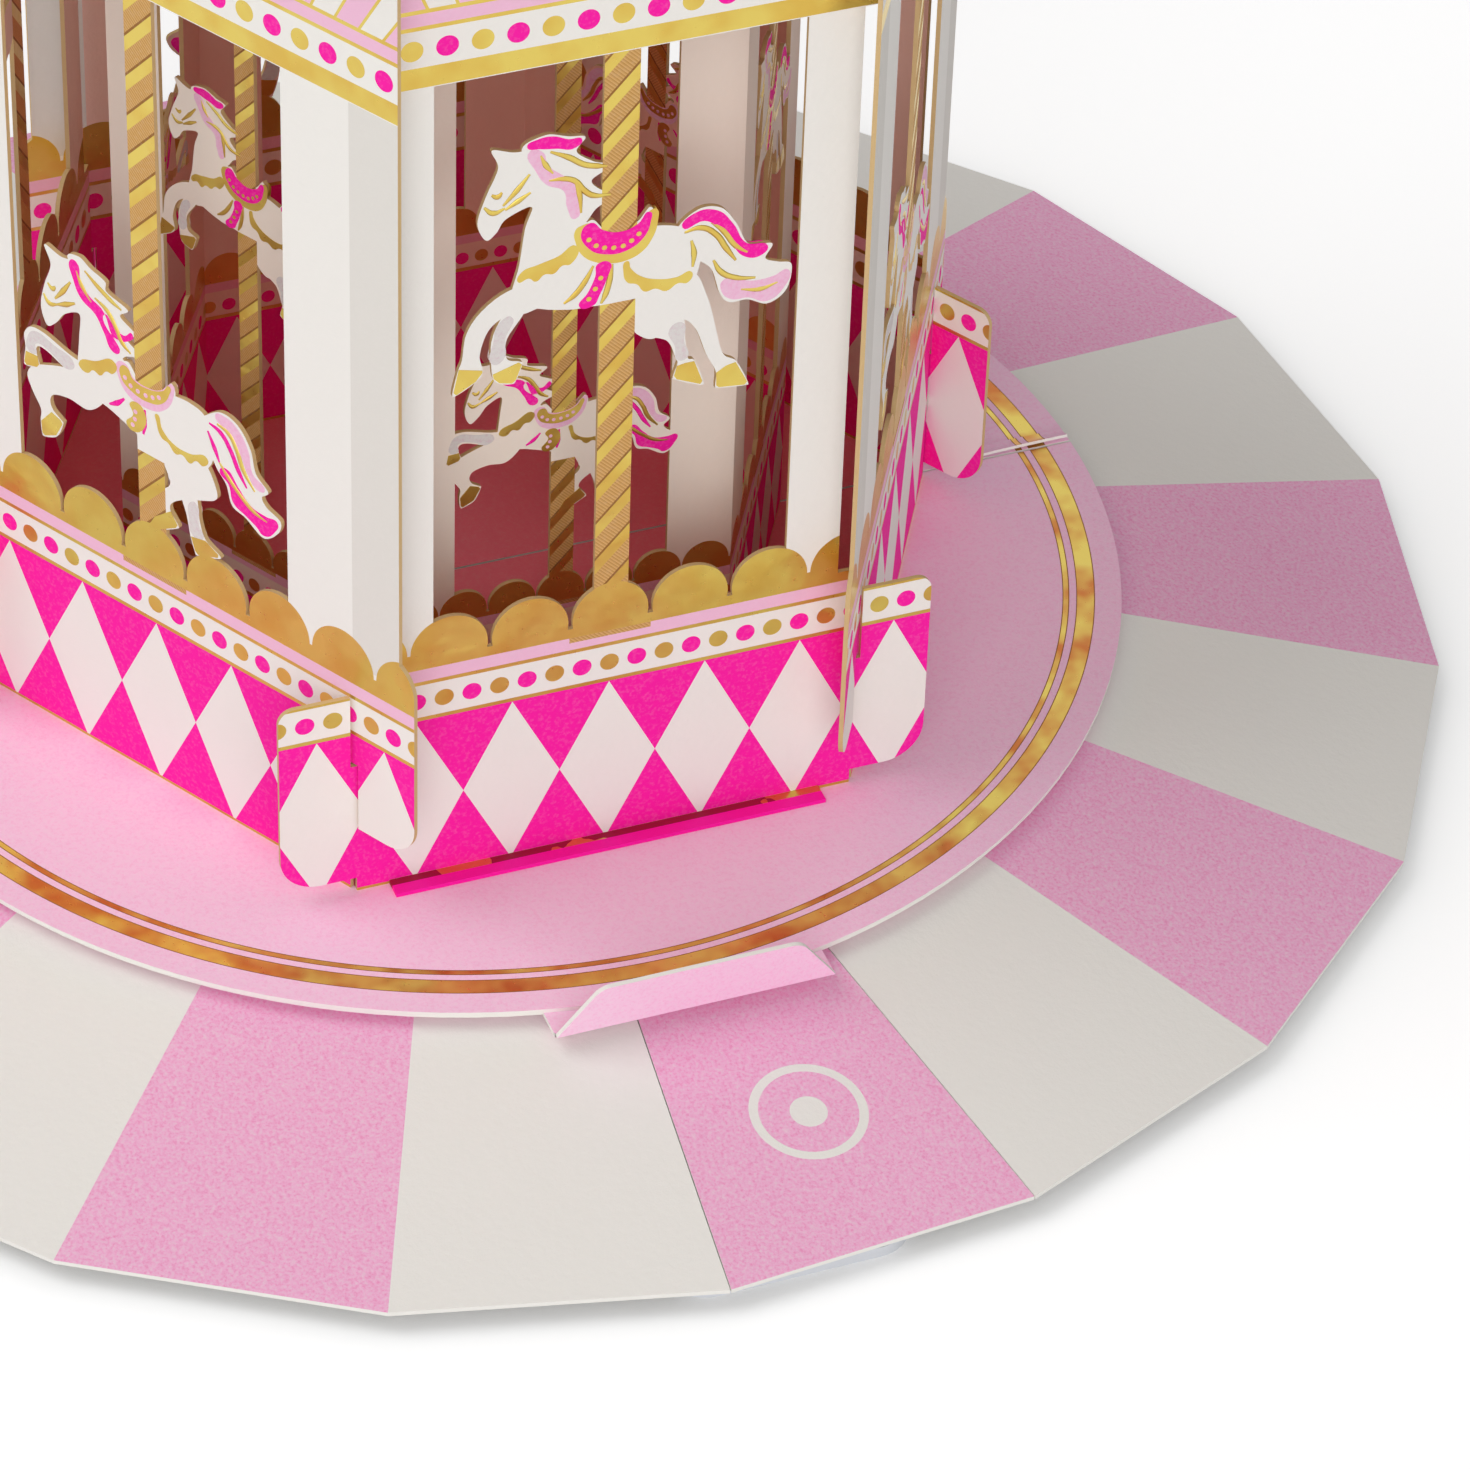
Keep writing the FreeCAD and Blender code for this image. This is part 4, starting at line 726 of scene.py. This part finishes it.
# Horse prints: the harness, mane and tail of each horse, printed on both faces of its card.
# Pinks are ink, and straps, hooves and strokes are gold foil. Points are from the pole at the saddle.
layer_height = 0.007
dot_radius = 0.26
dot_corners = 8
stroke_tip = 0.4
stroke_width = 0.62
gallop_print = [
    ("shade", "smooth", [
        [(-11.3, -9.0), (-10.2, -8.6), (-10.8, -11.0), (-10.9, -13.2), (-11.9, -13.6), (-11.9, -11.0)],
        [(5.1, -13.6), (6.3, -13.0), (6.6, -15.2), (6.9, -17.2), (6.1, -17.3), (5.7, -15.6)]]),
    ("pale", "smooth", [
        [(-8.6, 9.2), (-7.4, 8.8), (-6.9, 7.3), (-5.6, 6.0), (-4.5, 5.0), (-4.0, 3.0), (-4.2, 0.9),
         (-5.0, 2.2), (-5.4, 4.2), (-7.0, 5.2), (-8.0, 6.8)],
        [(10.2, -9.2), (10.1, -10.4), (11.1, -11.5), (12.8, -11.7), (14.6, -12.5), (16.2, -11.4),
         (16.6, -9.4), (15.2, -9.8), (13.2, -9.9), (11.6, -9.4)]]),
    ("gold", "smooth", [
        [(-4.2, -0.4), (-4.1, -2.0), (-3.5, -3.3), (-2.3, -4.3), (-0.8, -4.8), (0.8, -4.8), (2.2, -4.2),
         (3.2, -2.9), (3.7, -1.1), (3.5, 0.3), (2.8, 0.1), (1.8, -1.0), (0.2, -1.6), (-1.4, -1.2),
         (-2.6, 0.0), (-3.6, 0.0)]]),
    ("hot", "smooth", [
        [(-3.6, -0.6), (-2.7, 0.1), (-1.6, -0.9), (0.1, -1.5), (1.8, -1.0), (2.9, 0.1), (3.0, -1.1),
         (2.4, -2.6), (0.8, -3.7), (-1.2, -3.7), (-2.9, -2.7)],
        [(-2.0, -4.6), (-0.8, -4.7), (-1.1, -6.4), (-1.8, -8.2), (-2.3, -9.1), (-3.7, -9.0), (-2.9, -7.6),
         (-2.2, -5.9)],
        [(-8.9, 9.7), (-7.8, 10.3), (-6.4, 10.3), (-5.0, 9.7), (-3.7, 9.4), (-4.5, 8.6), (-6.0, 8.9),
         (-7.6, 9.2)],
        [(6.1, -2.4), (7.4, -1.0), (9.4, -1.2), (11.0, -3.0), (12.4, -5.5), (14.5, -6.3), (13.8, -7.2),
         (12.3, -7.0), (10.9, -5.2), (9.7, -3.3), (8.2, -2.1)]]),
    ("gold", "smooth", [
        [(-4.1, -2.1), (-5.8, -2.9), (-7.7, -3.4), (-9.3, -3.9), (-9.6, -4.9), (-8.6, -4.7), (-7.9, -5.2),
         (-7.1, -4.6), (-6.2, -4.7), (-5.4, -4.0), (-4.6, -4.0)],
        [(0.8, -4.9), (1.2, -5.8), (2.2, -6.9), (3.8, -7.6), (5.7, -7.8), (7.1, -7.5), (6.8, -8.6),
         (5.8, -8.5), (4.7, -9.1), (3.6, -8.6), (2.6, -8.7), (1.8, -7.7), (0.9, -7.3), (0.5, -6.2)]]),
    ("gold", "sharp", [
        [(-15.2, -13.4), (-12.95, -14.0), (-12.95, -14.25), (-13.6, -15.1), (-15.45, -16.2), (-15.7, -15.9)],
        [(-11.95, -14.7), (-11.85, -15.2), (-11.3, -15.8), (-10.1, -16.1), (-9.75, -15.85), (-9.15, -14.2),
         (-9.45, -13.9), (-10.7, -14.3)],
        [(5.95, -17.9), (6.8, -17.75), (7.65, -17.75), (8.5, -20.2), (8.3, -20.5), (5.95, -19.4),
         (5.7, -19.0)],
        [(9.85, -19.6), (10.8, -19.0), (11.75, -18.8), (12.95, -21.3), (12.7, -21.6), (10.15, -21.3),
         (9.9, -21.05)]]),
    ("gold", "line", [
        [(-8.6, 6.7), (-9.8, 5.2), (-11.1, 3.8)], [(-10.9, 3.3), (-9.7, 4.0), (-8.5, 4.7)],
        [(-12.9, 4.0), (-12.0, 3.2), (-10.9, 3.5)], [(-12.2, 5.2), (-11.6, 4.9), (-11.2, 5.3)],
        [(-6.7, 8.7), (-4.9, 7.7), (-3.4, 6.6), (-2.2, 6.2), (-1.3, 6.0)],
        [(-7.6, 8.5), (-7.1, 7.3), (-6.4, 6.3)],
        [(-6.8, 5.6), (-5.4, 5.5), (-4.3, 5.0), (-3.5, 3.9), (-2.6, 3.1), (-0.9, 2.8)],
        [(-4.4, 5.4), (-3.9, 3.6), (-3.7, 1.4)],
        [(6.3, -3.0), (7.9, -2.8), (9.4, -3.9), (10.4, -5.6), (11.4, -7.2)],
        [(8.9, -2.4), (10.1, -3.6), (11.4, -5.6), (13.0, -6.9)],
        [(9.2, -6.7), (10.0, -8.2), (11.5, -9.2), (13.4, -9.6)],
        [(12.0, -10.6), (13.9, -11.0), (15.6, -10.6)],
        [(-2.4, -4.7), (-3.2, -6.3), (-4.2, -7.6), (-5.2, -8.3)],
        [(-0.6, -4.9), (-0.8, -6.5), (-1.2, -8.2), (-1.6, -9.1)], [(7.0, -4.0), (7.3, -5.5), (7.2, -7.0)]]),
    ("gold", "dot", [(-2.9, -1.7), (-2.2, -2.5), (-1.4, -2.9), (-0.5, -3.1), (0.4, -3.1), (1.2, -2.7),
                     (1.9, -2.1), (-1.7, -6.2), (-2.2, -7.3), (-2.8, -8.3)]),
]
leap_print = [
    ("shade", "smooth", [
        [(-9.6, -3.4), (-12.2, -2.4), (-14.8, -2.0), (-15.7, -3.2), (-15.7, -4.6), (-14.6, -4.6),
         (-14.6, -3.4), (-12.4, -3.6), (-10.6, -4.4)],
        [(4.8, -12.4), (5.6, -12.0), (6.0, -14.4), (6.5, -15.8), (5.2, -16.1), (4.7, -14.2)]]),
    ("pale", "smooth", [
        [(-4.0, -0.3), (-3.9, -1.9), (-2.7, -3.5), (-0.3, -3.9), (1.9, -3.0), (3.2, -0.6), (3.1, 0.5),
         (2.3, 0.0), (1.6, -0.8), (0.0, -1.4), (-2.0, -1.1), (-2.9, 0.0)],
        [(8.4, -0.3), (9.8, 0.1), (11.3, -0.6), (12.5, -2.4), (13.0, -4.8), (14.5, -6.0), (13.6, -6.4),
         (12.4, -5.2), (11.4, -3.2), (10.2, -1.6)]]),
    ("hot", "smooth", [
        [(-9.6, 8.7), (-8.8, 8.8), (-8.3, 6.6), (-7.2, 5.6), (-5.6, 4.8), (-4.6, 2.6), (-3.6, 1.0),
         (-4.4, 0.6), (-5.6, 2.4), (-6.6, 3.9), (-8.4, 4.9), (-9.3, 6.6)],
        [(-5.4, 4.5), (-4.2, 3.6), (-3.0, 3.2), (-1.9, 3.9), (-2.8, 2.6), (-4.4, 2.4)],
        [(8.8, -6.6), (9.9, -7.6), (10.5, -9.5), (12.0, -10.2), (13.3, -10.8), (14.2, -11.4), (15.7, -10.2),
         (16.0, -9.0), (14.6, -9.0), (12.6, -8.7), (11.2, -7.4), (9.6, -5.9)]]),
    ("hot", "line", [
        [(7.6, -1.6), (9.0, -2.0), (10.2, -3.4), (11.2, -5.4), (12.2, -6.9)],
        [(7.4, -2.6), (8.2, -4.2), (8.8, -5.6)], [(-3.2, -4.2), (-4.2, -5.2), (-5.2, -5.8)],
        [(-0.6, -4.2), (-0.7, -6.0), (-0.9, -7.2)]]),
    ("gold", "smooth", [
        [(-3.5, -0.5), (-3.5, -1.9), (-2.0, -2.9), (0.2, -3.0), (1.6, -2.4), (2.6, -0.9), (2.7, 0.1),
         (1.8, -0.8), (0.0, -1.5), (-2.0, -1.3), (-2.7, -0.3)],
        [(-2.5, -4.3), (-0.9, -4.1), (-1.4, -7.2), (-3.0, -7.0), (-2.1, -5.4)],
        [(-9.0, -2.9), (-6.8, -1.6), (-4.2, -0.6), (-4.6, -2.0), (-5.4, -2.1), (-6.3, -3.0), (-7.1, -2.8),
         (-7.9, -3.5), (-8.7, -3.4)],
        [(0.9, -3.9), (1.6, -5.4), (3.0, -6.4), (5.0, -6.5), (7.3, -6.0), (6.7, -7.1), (5.9, -6.9),
         (5.0, -7.6), (4.1, -7.1), (3.2, -7.4), (2.3, -6.6), (1.5, -6.4), (0.9, -5.0)]]),
    ("gold", "sharp", [
        [(2.35, -14.65), (3.2, -15.9), (2.95, -16.3), (1.1, -17.4), (-0.35, -18.0), (-0.5, -17.7),
         (0.3, -16.3)],
        [(4.95, -16.3), (6.75, -15.9), (8.4, -16.75), (8.3, -17.1), (5.8, -18.05), (5.4, -17.75)],
        [(-14.3, -12.3), (-14.2, -13.65), (-13.9, -13.85), (-12.4, -13.1), (-11.5, -11.35), (-11.75, -11.0),
         (-12.9, -10.6)],
        [(-15.95, -4.9), (-16.2, -6.2), (-15.95, -6.5), (-14.55, -6.1), (-14.3, -5.7), (-14.45, -4.8)]]),
    ("gold", "line", [
        [(-9.7, 6.1), (-10.7, 4.6), (-11.8, 3.2)], [(-11.6, 2.6), (-10.4, 3.2), (-9.2, 3.9)],
        [(-13.3, 3.1), (-12.6, 2.3), (-11.6, 2.6)], [(-12.7, 4.6), (-12.1, 4.2), (-11.7, 4.6)],
        [(-8.9, 7.9), (-8.2, 6.3), (-7.0, 5.0)], [(-7.8, 8.3), (-6.2, 7.3), (-4.6, 6.5), (-3.2, 6.0)],
        [(-6.6, 5.8), (-5.0, 5.0), (-4.0, 3.6), (-3.2, 2.2), (-2.2, 1.5)],
        [(8.6, -1.2), (10.0, -1.6), (11.0, -3.0), (11.8, -5.0), (13.2, -6.8)],
        [(8.8, -5.6), (9.8, -6.7), (11.2, -8.0), (13.0, -9.2), (14.8, -9.6)]]),
    ("pale", "dot", [(-3.0, -1.6), (-2.3, -2.2), (-1.4, -2.4), (-0.4, -2.4), (0.5, -2.2), (1.3, -1.8),
                     (-1.8, -5.0), (-1.9, -5.9), (-2.2, -6.7)]),
]


def printed_layer(name, kind, loops, height, material):
    """Mesh of one ink or foil through points, in the wall's own plane and proud of both faces."""
    if kind == "dot":
        turns = [math.tau * k / dot_corners for k in range(dot_corners)]
        loops = [[(x + dot_radius * math.cos(a), y + dot_radius * math.sin(a)) for a in turns]
                 for x, y in loops]
    data = bpy.data.curves.new(name, "CURVE")
    data.dimensions = "3D" if kind == "line" else "2D"
    data.fill_mode = "FULL" if kind == "line" else "BOTH"
    data.resolution_u = 6 if kind in ("smooth", "line") else 1
    data.extrude = 0 if kind == "line" else height * MM
    data.bevel_depth = stroke_width / 2 * MM if kind == "line" else 0
    data.bevel_resolution = 1
    for points in loops:
        spline = data.splines.new("BEZIER")
        spline.bezier_points.add(len(points) - 1)
        spline.use_cyclic_u = kind != "line"
        for bead, (x, y) in zip(spline.bezier_points, points):
            bead.co = (x * MM, y * MM, 0)
            bead.handle_left_type = "VECTOR" if kind == "sharp" else "AUTO"
            bead.handle_right_type = bead.handle_left_type
        if kind == "line":
            spline.bezier_points[0].radius = stroke_tip
            spline.bezier_points[-1].radius = stroke_tip
    made = bpy.data.objects.new(name, data)
    scene.collection.objects.link(made)
    bpy.ops.object.select_all(action="DESELECT")
    made.select_set(True)
    bpy.context.view_layer.objects.active = made
    bpy.ops.object.convert(target="MESH")
    made = bpy.context.object
    thick = max(abs(point.co.z) for point in made.data.vertices)
    made.data.transform(Matrix.Diagonal((1, 1, height * MM / thick, 1)))
    back = made.data.copy()
    made.data.transform(Matrix.Translation((0, 0, card_thickness / 2 * MM)))
    back.transform(Matrix.Translation((0, 0, -card_thickness / 2 * MM)))
    other = bpy.data.objects.new(name + "_back", back)
    scene.collection.objects.link(other)
    other.select_set(True)
    bpy.ops.object.join()
    made.data.transform(Matrix.Rotation(math.pi / 2, 4, "X"))
    made.data.materials.clear()
    made.data.materials.append(material)
    return made


foil_stamp, tree, shader, spot, axes, normal = felt_card("stamped_gold_foil")
everywhere = add_node(tree, "Math", {0: axes.outputs["Z"], 1: 0.0}, operation="GREATER_THAN")
foil_over(tree, shader, spot, linear(FOIL_GOLD), everywhere.outputs[0])
inks = {"shade": plain_ink("shade_ink", "#DFD9D6", 0.2), "pale": plain_ink("pale_pink_ink", PALE_PINK, 0.2),
        "hot": plain_ink("hot_pink_ink", HOT_PINK, 0.1), "gold": foil_stamp}
patterns = {}
for design, plan in (("gallop", gallop_print), ("leap", leap_print)):
    layers = [printed_layer(design + "_" + ink, kind, loops, (step + 1) * layer_height, inks[ink])
              for step, (ink, kind, loops) in enumerate(plan)]
    bpy.ops.object.select_all(action="DESELECT")
    for layer in layers:
        layer.select_set(True)
    bpy.context.view_layer.objects.active = layers[0]
    bpy.ops.object.join()
    patterns[design] = bpy.context.object
for name, design, turn, apothem, saddle, size in horses:
    printed = patterns[design].copy()
    printed.data = patterns[design].data.copy()
    printed.name = name
    stand = Matrix.Rotation(math.radians(turn), 4, "Z")
    stand = stand @ Matrix.Translation((0, -apothem * MM, (platform_top + saddle) * MM))
    printed.data.transform(stand @ Matrix.Diagonal((size, 1, size, 1)))
    scene.collection.objects.link(printed)
    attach(printed, "turntable")
for pattern in patterns.values():
    bpy.data.objects.remove(pattern)

# Roof: six striped gores of card over the ceiling, meeting under a small cap.
# The ceiling is rose card, and the cap and the crossed finial cards are faced with gold foil.
gore_top, gore_rise, gore_run = 162.4, 42.0, 50.5
cap_reach = 5.0
apex_height = gore_top + gore_rise * cap_reach / gore_run
eave_top = 122.0
half_width_share = 0.63
gold_line_half = 0.008
dress(("ceiling_card",), plain_ink("rose_ceiling_card", "#FFBFB9", 0.1))
stripe_count = 5
stripe_share = half_width_share / stripe_count
for k in range(6):
    gore, tree, shader, spot, axes, normal = felt_card("striped_roof_card_" + str(k + 1),
                                                       turn=k * side_degrees)
    down = add_node(tree, "Math", {0: apex_height, 1: axes.outputs["Z"]}, operation="SUBTRACT")
    share = add_node(tree, "Math", {0: axes.outputs["X"], 1: down.outputs[0]}, operation="DIVIDE")
    lane = add_node(tree, "Math", {0: share.outputs[0], 1: stripe_share * 2}, operation="PINGPONG")
    pink_lane = add_node(tree, "Math", {0: lane.outputs[0], 1: stripe_share}, operation="LESS_THAN")
    line = add_node(tree, "Math", {0: lane.outputs[0], 1: stripe_share, 2: gold_line_half},
                    operation="COMPARE")
    eave = add_node(tree, "Math", {0: axes.outputs["Z"], 1: eave_top}, operation="LESS_THAN")
    foil = add_node(tree, "Math", {0: line.outputs[0], 1: eave.outputs[0]}, operation="MAXIMUM")
    ink = stippled(tree, spot, HOT_PINK, WHITE_CARD, 0.08)
    card = add_node(tree, "Mix", {"Factor": pink_lane.outputs[0], 6: linear(WHITE_CARD), 7: ink},
                    data_type="RGBA")
    foil_over(tree, shader, spot, card.outputs[2], foil.outputs[0])
    dress(("roof_panel_" + str(k + 1),), gore)
dress(("roof_cap", "finial_card_front", "finial_card_side"), foil_stamp)
